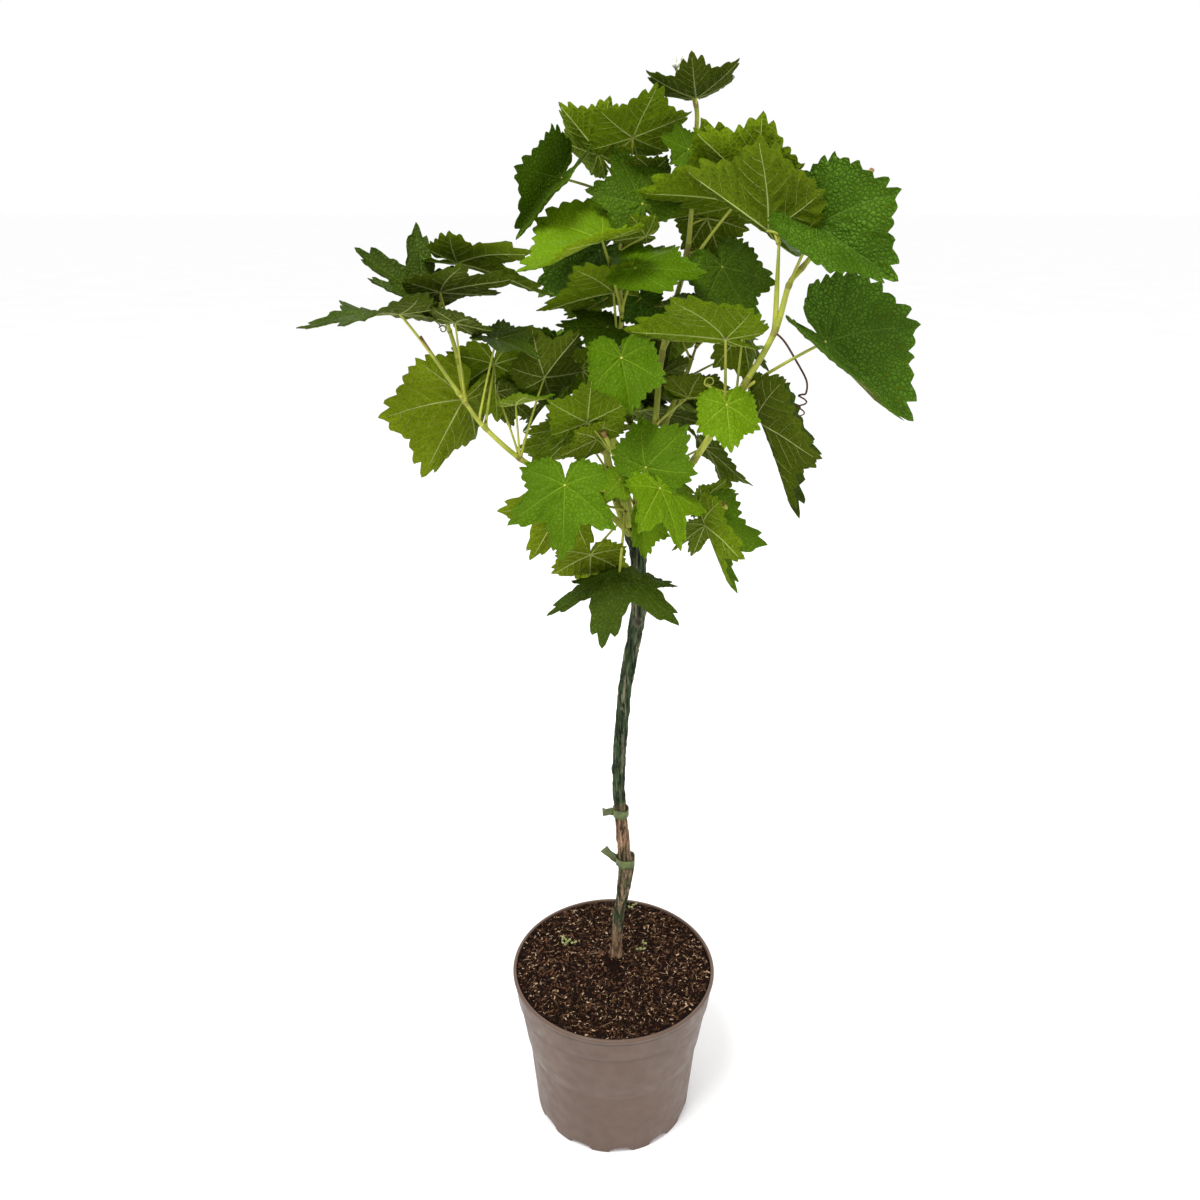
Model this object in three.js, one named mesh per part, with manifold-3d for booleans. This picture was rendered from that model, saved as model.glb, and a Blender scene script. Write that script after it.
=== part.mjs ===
// A potted grapevine standard: a slim trunk with leafy green shoots, rooted in a nursery pot of soil.
// Sizes are millimetres and angles are degrees. The origin is the middle of the pot's flat underside.
// A bearing is a compass direction seen from above: 0 is +X and 90 is +Y. A rise is measured up from level.

import * as THREE from "three";
import { mergeVertices } from "three/addons/utils/BufferGeometryUtils.js";
import Module from "manifold-3d";

const wasm = await Module();
wasm.setup();

// ---------------------------------------------------------------- driving sizes

const GAP = 0.3; // air between pot, soil and trunk
const SHAVE = 0.35; // what limbs and foliage keep clear of the solids made before them

const POT = {
  height: 158,
  topRadius: 95,
  footRadius: 74.5,
  wall: 2.2,
  floor: 6,
  bandHeight: 28, // the flared band under the lip
  bandFootRadius: 91.2,
  bandStep: 1.4, // how far the wall steps in under the band
  // the wall's shoulder and the waist below it, as radius and height
  shoulder: [83.8, 88],
  waist: [80.8, 75],
  lipRound: 1.8,
  sides: 40,
};
const FOOT_NOTCH = { count: 12, turn: 5, halfWidth: 10.5, height: 6, depth: 7, sides: 8 };
const SOIL_TOP = 156;

const TRUNK_SIDES = 10;
const CUT_DEPTH = 20; // how far below the soil's surface the trunk's flat cut reaches
const TRUNK = [
  // x, y, z, radius: the foot, cut flat at the soil, the lean, two knots and the knobbly head
  [2.4, 17, SOIL_TOP - 12, 6.4],
  [2.8, 13, 170, 5.3],
  [5, 7, 212, 5.2],
  [8, 4, 236, 5.8],
  [11.5, 2, 266, 7.1],
  [8.5, 1, 288, 5.8],
  [6.3, 0, 319, 5.5],
  [3.4, 0, 352, 5.5],
  [4, 0, 391, 5.8],
  [8, 2, 449, 5.8],
  [15, 1, 495, 6],
  [19.5, 0, 526, 6.9],
  [18.5, 0, 548, 5.9],
  [17, 0, 572, 6.2],
  [15.5, 0, 586, 8.4],
  [15, 0, 600, 5.6],
];
const TIES = [
  // bands of green tie tape round the trunk, by the height of their middle
  { name: "lower_tie", height: 275, tail: [178, 45, 20] },
  { name: "upper_tie", height: 328, tail: [180, -4, 15] },
];
const TIE = { width: 8, thick: 1.2, sides: 10 };

const SHOOT_SIDES = 6;
const STALK = { sides: 3, footRadius: 1.5, tipRadius: 1.1, sink: 2 };
const LEAF_THICK = 1.6;
const LEAF_STEPS = 10; // outline points on each half of a blade
const BLADE_MIDDLE = 0.3; // where a blade is thickest, as a part of its size from the stalk

// Radius of a blade's outline by the angle from its tip, for a shallow and for a deeply cut leaf.
const OUTLINE_ANGLES = [0, 28, 52, 80, 108, 140, 162, 180];
const SHALLOW_RADII = [1.0, 0.8, 0.88, 0.72, 0.68, 0.54, 0.38, 0.1];
const DEEP_RADII = [1.05, 0.46, 1.0, 0.42, 0.66, 0.46, 0.34, 0.1];
const SINUS_ANGLE = 176; // the outline stops here, at the notch round the stalk
const TOOTH = 0.06;

// ---------------------------------------------------------------- how the vine grows

// A shoot starts on the trunk's head, or on another shoot, and runs through internodes of
// [bearing, rise, length]. Its lowest internodes, as many as bough says, are a bare limb of their own.
// A leaf is: node on the shoot, its stalk's [bearing, rise, length], its tip's [bearing, rise], roll,
// size from stalk to tip, the [left, right] fold of its halves, bend, twist and depth of its lobes.
const SHOOTS = [
  {
    name: "left",
    start: [11, -4, 588],
    thick: [2.6, 1.3],
    bough: 3,
    internodes: [
      [200, 45, 42], [196, 34, 36], [196, 32, 32], [189, 44, 34],
      [197, 55, 24], [192, 58, 54],
    ],
    leaves: [
      [5.15, [193, 56, 66], [190, 0], 12, 64, [5, 5], 5, 25, 0.3],
      [5, [225, 85, 55], [300, 18], -25, 30, [0, 0], 0, 0, 0.2],
      [5, [100, -5, 18], [165, -58], 60, 66, [0, 52], 0, 0, 0.1],
      [4, [75, 60, 48], [95, -60], 0, 50, [0, 0], 0, 0, 0.1],
      [3, [120, 50, 56], [60, -62], 0, 32, [0, 0], 0, 0, 0.3],
      [3, [0, 72, 62], [25, 50], -60, 40, [0, 65], 0, 0, 0.3],
      [3, [260, 80, 42], [350, 15], -8, 28, [20, 20], 0, 0, 0.2],
      [4.3, [20, 75, 58], [335, -12], 10, 34, [15, 15], 10, 0, 0.4],
    ],
  },
  {
    name: "left_side",
    on: ["left", 5],
    thick: [1.8, 1.3],
    bough: 0,
    internodes: [[130, 78, 28], [140, 70, 22], [130, 50, 20]],
    leaves: [
      [3, [190, 30, 12], [180, 36], -30, 50, [25, 40], 0, 0, 0.9],
      [3, [340, 60, 34], [15, -12], -28, 62, [30, 2], 15, 0, 0.9],
      [2, [255, 65, 30], [352, 14], -25, 50, [10, 0], 5, 0, 0.6],
    ],
  },
  {
    name: "right",
    start: [17, -6, 588],
    thick: [2.8, 1.5],
    bough: 2,
    internodes: [
      [331, 57, 36], [333, 54, 43], [340, 59, 68], [341, 63, 41],
      [0, 76, 31], [14, 52, 14], [28, 45, 42], [36, 49, 42],
    ],
    leaves: [
      [2.6, [250, 83, 54], [172, 6], 60, 66, [-25, 55], 0, 0, 0.2],
      [2.8, [65, 75, 46], [0, -78], -120, 38, [70, 45], 0, 0, 0.2],
      [2, [300, 52, 59], [282, -62], 0, 31, [0, 0], 0, 0, 0.1],
      [2.9, [20, -50, 27], [326, -61], 2, 72, [8, 66], 0, 0, 0.2],
      [2.88, [346, 33, 68], [348, -38], 54, 77, [8, 60], 0, 0, 0],
      [5, [322, 66, 42], [330, -30], 74, 61, [20, 65], 0, 0, 0],
    ],
  },
  {
    name: "right_side",
    on: ["right", 4],
    thick: [1.9, 1.5],
    bough: 0,
    internodes: [[180, 89, 63]],
    leaves: [
      [1, [150, 10, 8], [168, 34], 62, 66, [0, 70], 0, 0, 0.1],
      [0.9, [130, 53, 42], [180, 43], 60, 52, [0, 50], 0, 0, 0.1],
    ],
  },
  {
    name: "front",
    start: [10, -8, 596],
    thick: [2.5, 1.7],
    bough: 0,
    internodes: [[235, 70, 26], [231, 74, 34], [210, 62, 24]],
    leaves: [
      [1, [160, 55, 64], [190, -5], 45, 38, [0, 0], 0, 0, 0.2],
      [2, [200, 52, 36], [278, 62], 0, 40, [0, 0], 0, 0, 0.1],
      [1, [235, 20, 78], [262, -70], 0, 48, [12, 12], 0, 0, 0.55],
      [0.6, [220, 15, 62], [168, -60], 60, 49, [20, 0], 0, 0, 0.6],
      [2, [170, 45, 20], [200, -20], 50, 30, [0, 0], 0, 0, 0.2],
      [1, [260, 50, 24], [218, -35], -30, 20, [0, 0], 0, 0, 0.2],
      [0.4, [210, -40, 42], [93, -58], 0, 40, [0, 0], 0, 0, 0.2],
      [0.6, [260, -55, 50], [255, 0], 0, 66, [-15, -22], 60, 0, 0.75],
    ],
  },
  {
    name: "centre",
    start: [12, -1, 600],
    thick: [2.2, 1.2],
    bough: 1,
    internodes: [
      [143, 75, 38], [150, 73, 30], [60, 84, 20], [0, 70, 13],
      [180, 87, 29], [0, 85, 29], [220, 84, 30], [315, 83, 23],
    ],
    leaves: [
      [6, [288, 48, 42], [355, 2], 28, 47, [0, 10], 0, 0, 0.1],
      [4, [270, 30, 64], [292, -60], 0, 38, [8, 8], 0, 0, 0],
      [5, [200, 85, 42], [190, -7], 40, 54, [0, 20], 0, 0, 0.2],
      [4.4, [200, 75, 36], [195, 5], -25, 36, [0, 0], 0, 0, 0.4],
      [6, [240, 60, 58], [195, -15], -20, 60, [35, 20], 10, 0, 0],
      [5.6, [43, 43, 28], [300, -75], 0, 28, [10, 10], 0, 0, 0.2],
      [7.5, [350, 30, 21], [200, -5], 60, 24, [0, 40], 0, 0, 0.2],
    ],
  },
  {
    name: "top",
    start: [19, 6, 592],
    thick: [2.7, 1.4],
    bough: 2,
    internodes: [
      [61, 66, 40], [70, 74, 39], [42, 84, 54], [347, 77, 40],
      [347, 77, 38], [281, 81, 66], [260, 81, 32], [196, 54, 26],
    ],
    leaves: [
      [2, [320, 40, 40], [22, -3], -95, 38, [120, 58], 0, 0, 0.2],
      [5, [330, -20, 30], [325, -55], 30, 46, [0, 0], 0, 0, 0.2],
      [4.6, [330, 50, 64], [188, 8], 62, 68, [0, 48], 0, 0, 0.3],
      [6.9, [265, 60, 8], [262, 10], 6, 42, [22, 16], -40, 0, 0.3],
      [5.3, [40, 10, 18], [20, -65], -60, 34, [0, 0], 0, 0, 0.2],
      [6, [247, 10, 14], [200, 20], -60, 22, [0, 0], 0, 0, 0.2],
      [3, [335, 62, 46], [190, 0], 30, 27, [0, 0], 0, 0, 0.6],
    ],
  },
  {
    name: "inner",
    start: [11, 8, 592],
    thick: [2.4, 1.3],
    bough: 1,
    internodes: [[131, 64, 67], [103, 79, 107], [0, 73, 75], [294, 83, 30]],
    leaves: [
      [2.6, [290, 30, 56], [148, 60], -40, 42, [0, 0], 0, 0, 0.3],
      [2.9, [320, 20, 30], [100, 60], 180, 26, [0, 0], 0, 0, 0.2],
      [3, [225, 45, 46], [188, 50], 60, 40, [15, 42], 0, 0, 0.1],
      [3, [272, 55, 52], [292, 40], 0, 46, [0, 0], 0, 0, 0.1],
      [3, [300, 35, 36], [190, 5], 30, 28, [0, 0], 0, 0, 0.3],
      [1.4, [200, 40, 24], [205, -5], 60, 34, [0, 0], 0, 0, 0.3],
      [3, [203, 17, 56], [222, -40], -20, 54, [50, 85], 0, 0, 0.1],
      [2.4, [222, 38, 15], [205, -28], -40, 54, [10, 10], 0, 0, 0.1],
    ],
  },
  {
    name: "back_left",
    start: [8, 6, 586],
    thick: [2.8, 1.5],
    bough: 1,
    internodes: [[130, 62, 42], [112, 66, 38], [128, 56, 34], [110, 50, 28]],
    grown: 7, // the seed of its leaves, which the rule below places
    leaves: [
    ],
  },
  {
    name: "back_right",
    start: [20, 8, 588],
    thick: [2.8, 1.5],
    bough: 1,
    internodes: [[52, 64, 46], [68, 62, 42], [48, 54, 38], [62, 46, 32]],
    grown: 17, // the seed of its leaves, which the rule below places
    leaves: [
    ],
  },
  {
    name: "back",
    start: [15, 11, 584],
    thick: [2.6, 1.4],
    bough: 1,
    internodes: [[88, 42, 42], [98, 50, 40], [84, 38, 34]],
    grown: 31, // the seed of its leaves, which the rule below places
    leaves: [
    ],
  },
  {
    name: "low",
    start: [22, -6, 594],
    thick: [2.4, 1.6],
    bough: 0,
    internodes: [[320, 30, 26], [345, 15, 26], [15, 5, 20]],
    leaves: [
      [0.6, [250, 55, 62], [10, 45], 60, 40, [0, 0], 0, 0, 0.1],
      [0.8, [262, 40, 56], [312, -48], 0, 43, [0, 0], 10, 0, 0.5],
      [3, [190, -35, 20], [320, -64], -20, 54, [50, 50], 0, 0, 0.5],
      [3, [145, 5, 20], [22, 10], -60, 27, [0, 0], 0, 0, 0.2],
      [3, [140, -45, 26], [120, -60], 0, 32, [0, 0], 0, 0, 0.6],
      [0.5, [245, 20, 32], [308, -78], 0, 28, [30, 30], 0, 0, 0.2],
    ],
  },

];
const NODE_ROOM = 12; // a grown leaf's heart stays this far from every other limb
const CROWN_SPACE = { middle: [0, 20, 730], reach: [250, 160, 215] };

// ---------------------------------------------------------------- directions, paths and chance

const radians = THREE.MathUtils.degToRad;

function way(bearing, rise) {
  const level = Math.cos(radians(rise));
  const x = Math.cos(radians(bearing)) * level;
  const y = Math.sin(radians(bearing)) * level;
  return new THREE.Vector3(x, y, Math.sin(radians(rise)));
}

// A seeded draw, the same in any language: Park and Miller's generator.
function seeded(seed) {
  let state = seed;
  return (low, high) => {
    state = (state * 16807) % 2147483647;
    return low + ((high - low) * state) / 2147483647;
  };
}

function shootNamed(name) {
  return SHOOTS.find((shoot) => shoot.name === name);
}

function nodesOf(shoot) {
  const start = shoot.on ? pointOn(shootNamed(shoot.on[0]), shoot.on[1]) : new THREE.Vector3(...shoot.start);
  const nodes = [start];
  for (const [bearing, rise, length] of shoot.internodes) {
    nodes.push(nodes.at(-1).clone().addScaledVector(way(bearing, rise), length));
  }
  return nodes;
}

function pointOn(shoot, node) {
  const nodes = nodesOf(shoot);
  const below = Math.min(Math.floor(node), nodes.length - 2);
  return nodes[below].clone().lerp(nodes[below + 1], node - below);
}

function radiusOn(shoot, node) {
  return THREE.MathUtils.lerp(shoot.thick[0], shoot.thick[1], node / shoot.internodes.length);
}

// ---------------------------------------------------------------- closed solids

// The closed solid of a three.js geometry, with its seams welded and its empty triangles dropped.
function solidOf(geometry) {
  const bare = geometry.clone();
  bare.deleteAttribute("normal");
  bare.deleteAttribute("uv");
  const welded = mergeVertices(bare, 1e-4);
  const corners = welded.index.array;
  const kept = [];
  for (let i = 0; i < corners.length; i += 3) {
    const [a, b, c] = corners.slice(i, i + 3);
    if (a !== b && b !== c && c !== a) kept.push(a, b, c);
  }
  return solidFrom(welded.attributes.position.array, kept);
}

function solidFrom(coordinates, corners) {
  const mesh = new wasm.Mesh({
    numProp: 3,
    vertProperties: new Float32Array(coordinates),
    triVerts: new Uint32Array(corners),
  });
  mesh.merge();
  return new wasm.Manifold(mesh);
}

function join(solids) {
  return wasm.Manifold.union(solids);
}

// The largest connected body, so that a scrap cut loose is dropped.
function mainBody(solid) {
  const bodies = solid.decompose();
  return bodies.reduce((best, body) => (body.volume() > best.volume() ? body : best));
}

// A round tapering limb through the points, with flat ends.
function limb(points, radii, sides, grow = 0) {
  const coordinates = [];
  const corners = [];
  const last = points.length - 1;
  const side = new THREE.Vector3(1, 0, 0);
  for (let i = 0; i <= last; i++) {
    const along = points[Math.min(i + 1, last)].clone().sub(points[Math.max(i - 1, 0)]).normalize();
    side.addScaledVector(along, -side.dot(along)).normalize();
    const across = along.clone().cross(side);
    const middle = points[i].clone();
    if (i === 0) middle.addScaledVector(along, -grow);
    if (i === last) middle.addScaledVector(along, grow);
    for (let k = 0; k < sides; k++) {
      const turn = (2 * Math.PI * k) / sides;
      const corner = middle.clone();
      corner.addScaledVector(side, Math.cos(turn) * (radii[i] + grow));
      corner.addScaledVector(across, Math.sin(turn) * (radii[i] + grow));
      coordinates.push(corner.x, corner.y, corner.z);
    }
  }
  for (let i = 0; i < last; i++) {
    for (let k = 0; k < sides; k++) {
      const a = i * sides + k;
      const b = i * sides + ((k + 1) % sides);
      corners.push(a, b, b + sides, a, b + sides, a + sides);
    }
  }
  for (let k = 1; k < sides - 1; k++) {
    const top = last * sides;
    corners.push(0, k + 1, k, top, top + k, top + k + 1);
  }
  return solidFrom(coordinates, corners);
}

// ---------------------------------------------------------------- leaves

function outlineRadius(angle, lobes) {
  const away = Math.abs(angle);
  const i = Math.max(1, OUTLINE_ANGLES.findIndex((knot) => away <= knot));
  const part = (away - OUTLINE_ANGLES[i - 1]) / (OUTLINE_ANGLES[i] - OUTLINE_ANGLES[i - 1]);
  const shallow = THREE.MathUtils.lerp(SHALLOW_RADII[i - 1], SHALLOW_RADII[i], part);
  const deep = THREE.MathUtils.lerp(DEEP_RADII[i - 1], DEEP_RADII[i], part);
  return THREE.MathUtils.lerp(shallow, deep, lobes);
}

// A leaf with its root on the shoot, its heart where the stalk ends, and the blade's three directions.
function leafFrom(shoot, [node, stalk, tip, roll, size, fold, bend, twist, lobes]) {
  const root = pointOn(shoot, node);
  const heart = root.clone().addScaledVector(way(stalk[0], stalk[1]), stalk[2]);
  const along = way(tip[0], tip[1]);
  const up = way(tip[0], tip[1] + 90);
  const across = along.clone().cross(up);
  const normal = up.multiplyScalar(Math.cos(radians(roll)));
  normal.addScaledVector(across, Math.sin(radians(roll)));
  const side = along.clone().cross(normal);
  return { root, heart, along, normal, side, size, fold, bend, twist, lobes };
}

// The blade's point at u sizes along its midrib and v sizes to the right: folded, twisted, then bent.
function bladePoint(leaf, u, v) {
  const fold = radians(v > 0 ? leaf.fold[1] : leaf.fold[0]);
  const twist = radians(leaf.twist) * u;
  const out = v * Math.cos(fold) * Math.cos(twist) - Math.abs(v) * Math.sin(fold) * Math.sin(twist);
  const lift = v * Math.cos(fold) * Math.sin(twist) + Math.abs(v) * Math.sin(fold) * Math.cos(twist);
  const curve = radians(leaf.bend);
  const turn = curve * u;
  const reach = (curve ? Math.sin(turn) / curve : u) + lift * Math.sin(turn);
  const height = (curve ? (Math.cos(turn) - 1) / curve : 0) + lift * Math.cos(turn);
  return leaf.heart
    .clone()
    .addScaledVector(leaf.along, reach * leaf.size)
    .addScaledVector(leaf.side, out * leaf.size)
    .addScaledVector(leaf.normal, height * leaf.size);
}

// A blade is a lens: its toothed outline, with its middle lifted by half the thickness on each side.
// Grown for clearance, it has a rim too.
function blade(leaf, grow = 0) {
  const middle = bladePoint(leaf, BLADE_MIDDLE, 0);
  const outline = [];
  for (let step = -LEAF_STEPS; step <= LEAF_STEPS; step++) {
    const angle = THREE.MathUtils.clamp((180 * step) / LEAF_STEPS, -SINUS_ANGLE, SINUS_ANGLE);
    const tooth = step % 2 === 0 ? TOOTH : -TOOTH;
    const radius = outlineRadius(angle, leaf.lobes) * (1 + tooth) + grow / leaf.size;
    outline.push(bladePoint(leaf, radius * Math.cos(radians(angle)), radius * Math.sin(radians(angle))));
  }
  const count = outline.length;
  const points = [];
  for (const face of [1, -1]) {
    points.push(middle.clone().addScaledVector(leaf.normal, face * (LEAF_THICK / 2 + grow)));
    for (const point of outline) points.push(point.clone().addScaledVector(leaf.normal, face * grow));
  }
  const corners = [];
  for (let i = 0; i < count; i++) {
    const a = 1 + i;
    const b = 1 + ((i + 1) % count);
    const under = count + 1;
    corners.push(0, b, a, under, under + a, under + b);
    if (grow) corners.push(a, b, under + b, a, under + b, under + a);
  }
  return solidFrom(points.flatMap((point) => point.toArray()), corners);
}

function stalk(leaf, grow = 0) {
  const end = leaf.heart.clone().addScaledVector(leaf.heart.clone().sub(leaf.root).normalize(), STALK.sink);
  return limb([leaf.root, end], [STALK.footRadius, STALK.tipRadius], STALK.sides, grow);
}

// Leaves by the seeded rule: two at a node, on alternate sides, and one more at the shoot's end.
function grownRows(shoot) {
  const draw = seeded(shoot.grown);
  const rows = [];
  let sideways = 1;
  const count = shoot.internodes.length;
  for (let node = 1; node <= count; node++) {
    const bearing = shoot.internodes[node - 1][0];
    for (let place = 0; place < (node < count ? 2 : 3); place++) {
      sideways = -sideways;
      const off = place < 2 ? bearing + sideways * draw(35, 75) : bearing + draw(-15, 15);
      const at = place === 1 ? node - 0.45 : node;
      const stalk = [off, draw(15, 55), draw(26, 48)];
      const tip = [off + draw(-25, 25), draw(-50, -15)];
      const roll = draw(-25, 25);
      const size = draw(36, 54);
      const fold = [draw(0, 15), draw(0, 15)];
      rows.push([at, stalk, tip, roll, size, fold, draw(0, 25), 0, draw(0, 0.5)]);
    }
  }
  return rows;
}

// A grown leaf is kept when its tip is inside the crown and its heart is clear of the other shoots.
function fits(leaf, shoot) {
  const tip = bladePoint(leaf, 1, 0);
  const middle = new THREE.Vector3(...CROWN_SPACE.middle);
  const reach = new THREE.Vector3(...CROWN_SPACE.reach);
  if (tip.clone().sub(middle).divide(reach).length() > 1) return false;
  const others = SHOOTS.filter((other) => other !== shoot);
  const line = new THREE.Line3();
  const near = new THREE.Vector3();
  return others.every((other) => {
    const nodes = nodesOf(other);
    return nodes.slice(1).every((node, i) => {
      line.set(nodes[i], node).closestPointToPoint(leaf.heart, true, near);
      return near.distanceTo(leaf.heart) > NODE_ROOM;
    });
  });
}

function leavesOf(shoot) {
  const placed = shoot.leaves.map((row) => leafFrom(shoot, row));
  if (!shoot.grown) return placed;
  return grownRows(shoot).map((row) => leafFrom(shoot, row)).filter((leaf) => fits(leaf, shoot));
}

// ---------------------------------------------------------------- pot, soil, trunk and ties

function ringRadius(profile, height) {
  const i = Math.max(1, profile.findIndex((point) => height <= point.y));
  const part = (height - profile[i - 1].y) / (profile[i].y - profile[i - 1].y);
  return THREE.MathUtils.lerp(profile[i - 1].x, profile[i].x, part);
}

const bandFoot = POT.height - POT.bandHeight;
const bandRadius = POT.topRadius - 1.2;
const wallTop = POT.bandFootRadius - POT.bandStep;
const potInside = [
  new THREE.Vector2(POT.footRadius - POT.wall, POT.floor),
  new THREE.Vector2(POT.waist[0] - POT.wall, POT.waist[1]),
  new THREE.Vector2(POT.shoulder[0] - POT.wall, POT.shoulder[1]),
  new THREE.Vector2(wallTop - POT.wall, bandFoot - POT.wall),
  new THREE.Vector2(POT.bandFootRadius - POT.wall, bandFoot + POT.wall),
  new THREE.Vector2(bandRadius - POT.wall, POT.height - POT.lipRound),
];

function turned(profile) {
  const geometry = new THREE.LatheGeometry(profile, POT.sides);
  geometry.rotateX(Math.PI / 2);
  return solidOf(geometry);
}

function pot() {
  const profile = [new THREE.Vector2(0, 0), new THREE.Vector2(POT.footRadius, 0)];
  profile.push(new THREE.Vector2(...POT.waist), new THREE.Vector2(...POT.shoulder));
  profile.push(new THREE.Vector2(wallTop, bandFoot));
  profile.push(new THREE.Vector2(POT.bandFootRadius, bandFoot));
  for (let angle = -60; angle <= 120; angle += 45) {
    const x = POT.topRadius - POT.lipRound + POT.lipRound * Math.cos(radians(angle));
    const y = POT.height - POT.lipRound + POT.lipRound * Math.sin(radians(angle));
    profile.push(new THREE.Vector2(x, Math.min(y, POT.height)));
  }
  profile.push(...[...potInside].reverse(), new THREE.Vector2(0, POT.floor));
  let body = turned(profile);
  for (let i = 0; i < FOOT_NOTCH.count; i++) {
    const geometry = new THREE.CylinderGeometry(1, 1, 2 * FOOT_NOTCH.depth, FOOT_NOTCH.sides);
    geometry.scale(FOOT_NOTCH.halfWidth, 1, FOOT_NOTCH.height);
    geometry.translate(0, POT.footRadius, 0);
    geometry.rotateZ((2 * Math.PI * i) / FOOT_NOTCH.count + radians(FOOT_NOTCH.turn));
    body = body.subtract(solidOf(geometry));
  }
  return body;
}

function soil() {
  const profile = [new THREE.Vector2(0, POT.floor + GAP)];
  const heights = [POT.floor + GAP, ...potInside.slice(1, 5).map((point) => point.y), SOIL_TOP];
  for (const height of heights) profile.push(new THREE.Vector2(ringRadius(potInside, height) - GAP, height));
  profile.push(new THREE.Vector2(0, SOIL_TOP));
  return turned(profile);
}

const trunkPoints = TRUNK.map(([x, y, z]) => new THREE.Vector3(x, y, z));
const trunkRadii = TRUNK.map((ring) => ring[3]);

function trunk(grow = 0) {
  const below = new THREE.BoxGeometry(4 * trunkRadii[0], 4 * trunkRadii[0], 2 * CUT_DEPTH);
  below.translate(trunkPoints[0].x, trunkPoints[0].y, SOIL_TOP + GAP - CUT_DEPTH);
  return limb(trunkPoints, trunkRadii, TRUNK_SIDES, grow).subtract(solidOf(below));
}

function trunkAt(height) {
  const i = Math.max(1, TRUNK.findIndex((ring) => height <= ring[2]));
  const part = (height - TRUNK[i - 1][2]) / (TRUNK[i][2] - TRUNK[i - 1][2]);
  const point = trunkPoints[i - 1].clone().lerp(trunkPoints[i], part);
  return { point, radius: THREE.MathUtils.lerp(trunkRadii[i - 1], trunkRadii[i], part) };
}

function tie({ height, tail }) {
  const ends = [trunkAt(height - TIE.width / 2), trunkAt(height + TIE.width / 2)];
  const radius = Math.max(ends[0].radius, ends[1].radius) + SHAVE + TIE.thick;
  const band = limb(ends.map((end) => end.point), [radius, radius], TIE.sides);
  const middle = trunkAt(height).point;
  const tip = middle.clone().addScaledVector(way(tail[0], tail[1]), tail[2]);
  const strip = limb([middle, tip], [TIE.width * 0.4, TIE.width * 0.3], 4);
  return join([band, strip]).subtract(trunk(SHAVE));
}

// ---------------------------------------------------------------- boughs and foliage

function stem(shoot, from, to, grow = 0) {
  const nodes = nodesOf(shoot).slice(from, to + 1);
  const radii = nodes.map((_, i) => radiusOn(shoot, from + i));
  return limb(nodes, radii, SHOOT_SIDES, grow);
}

// One mass: what its shoot carries above the bare limb, with the side shoots that stand on it.
function massParts(shoot, grow = 0) {
  const side = SHOOTS.filter((other) => other.on && other.on[0] === shoot.name);
  const stems = [stem(shoot, shoot.bough, shoot.internodes.length, grow)];
  for (const other of side) stems.push(stem(other, 0, other.internodes.length, grow));
  const leaves = [shoot, ...side].flatMap(leavesOf);
  stems.push(...leaves.map((leaf) => stalk(leaf, grow)));
  return { stems: join(stems), blades: join(leaves.map((leaf) => blade(leaf, grow))) };
}

const COLOURS = {
  pot: { color: "#7e6a5e", roughness: 0.62 },
  soil: { color: "#3a281d", roughness: 0.97 },
  trunk: { color: "#4c5a4a", roughness: 0.88 },
  tie: { color: "#2f6b3c", roughness: 0.6 },
  bough: { color: "#98a544", roughness: 0.6 },
  foliage: { color: "#4f8a1f", roughness: 0.55 },
};

function meshOf(name, solid, look) {
  const { vertProperties, triVerts } = solid.getMesh();
  const geometry = new THREE.BufferGeometry();
  geometry.setAttribute("position", new THREE.BufferAttribute(new Float32Array(vertProperties), 3));
  geometry.setIndex(new THREE.BufferAttribute(new Uint32Array(triVerts), 1));
  geometry.computeVertexNormals();
  const material = new THREE.MeshStandardMaterial({ ...COLOURS[look], metalness: 0, flatShading: true });
  const mesh = new THREE.Mesh(geometry, material);
  mesh.name = name;
  return mesh;
}

const vine = new THREE.Group();
vine.add(meshOf("pot", pot(), "pot"));
vine.add(meshOf("soil", soil(), "soil"));
vine.add(meshOf("trunk", trunk(), "trunk"));
for (const band of TIES) vine.add(meshOf(band.name, tie(band), "tie"));

// Each solid is cut clear of the trunk and of the limbs and masses made before it.
let taken = trunk(SHAVE);
const mainShoots = SHOOTS.filter((shoot) => !shoot.on);
for (const shoot of mainShoots.filter((main) => main.bough)) {
  const solid = mainBody(stem(shoot, 0, shoot.bough).subtract(taken));
  vine.add(meshOf(`${shoot.name}_bough`, solid, "bough"));
  taken = taken.add(stem(shoot, 0, shoot.bough, SHAVE));
}

const clear = new Map(mainShoots.map((shoot) => [shoot, massParts(shoot, SHAVE)]));
for (const shoot of mainShoots) {
  const { stems, blades } = massParts(shoot);
  const otherStems = mainShoots.filter((other) => other !== shoot).map((other) => clear.get(other).stems);
  const earlier = mainShoots.slice(0, mainShoots.indexOf(shoot)).map((other) => clear.get(other));
  const freeStems = stems.subtract(join([taken, ...earlier.map((parts) => parts.stems)]));
  const freeBlades = blades.subtract(join([taken, ...otherStems, ...earlier.map((parts) => parts.blades)]));
  vine.add(meshOf(`${shoot.name}_foliage`, mainBody(freeStems.add(freeBlades)), "foliage"));
}

export default vine;
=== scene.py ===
"""A potted grapevine standard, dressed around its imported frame.

The tables hold millimetres and degrees, as the part's source does, and every mesh is made in metres.
A bearing is a compass direction seen from above: 0 is +X and 90 is +Y. A rise is measured up from level.
"""

import math

import bmesh
import bpy
import numpy as np
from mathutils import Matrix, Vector, noise


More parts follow.
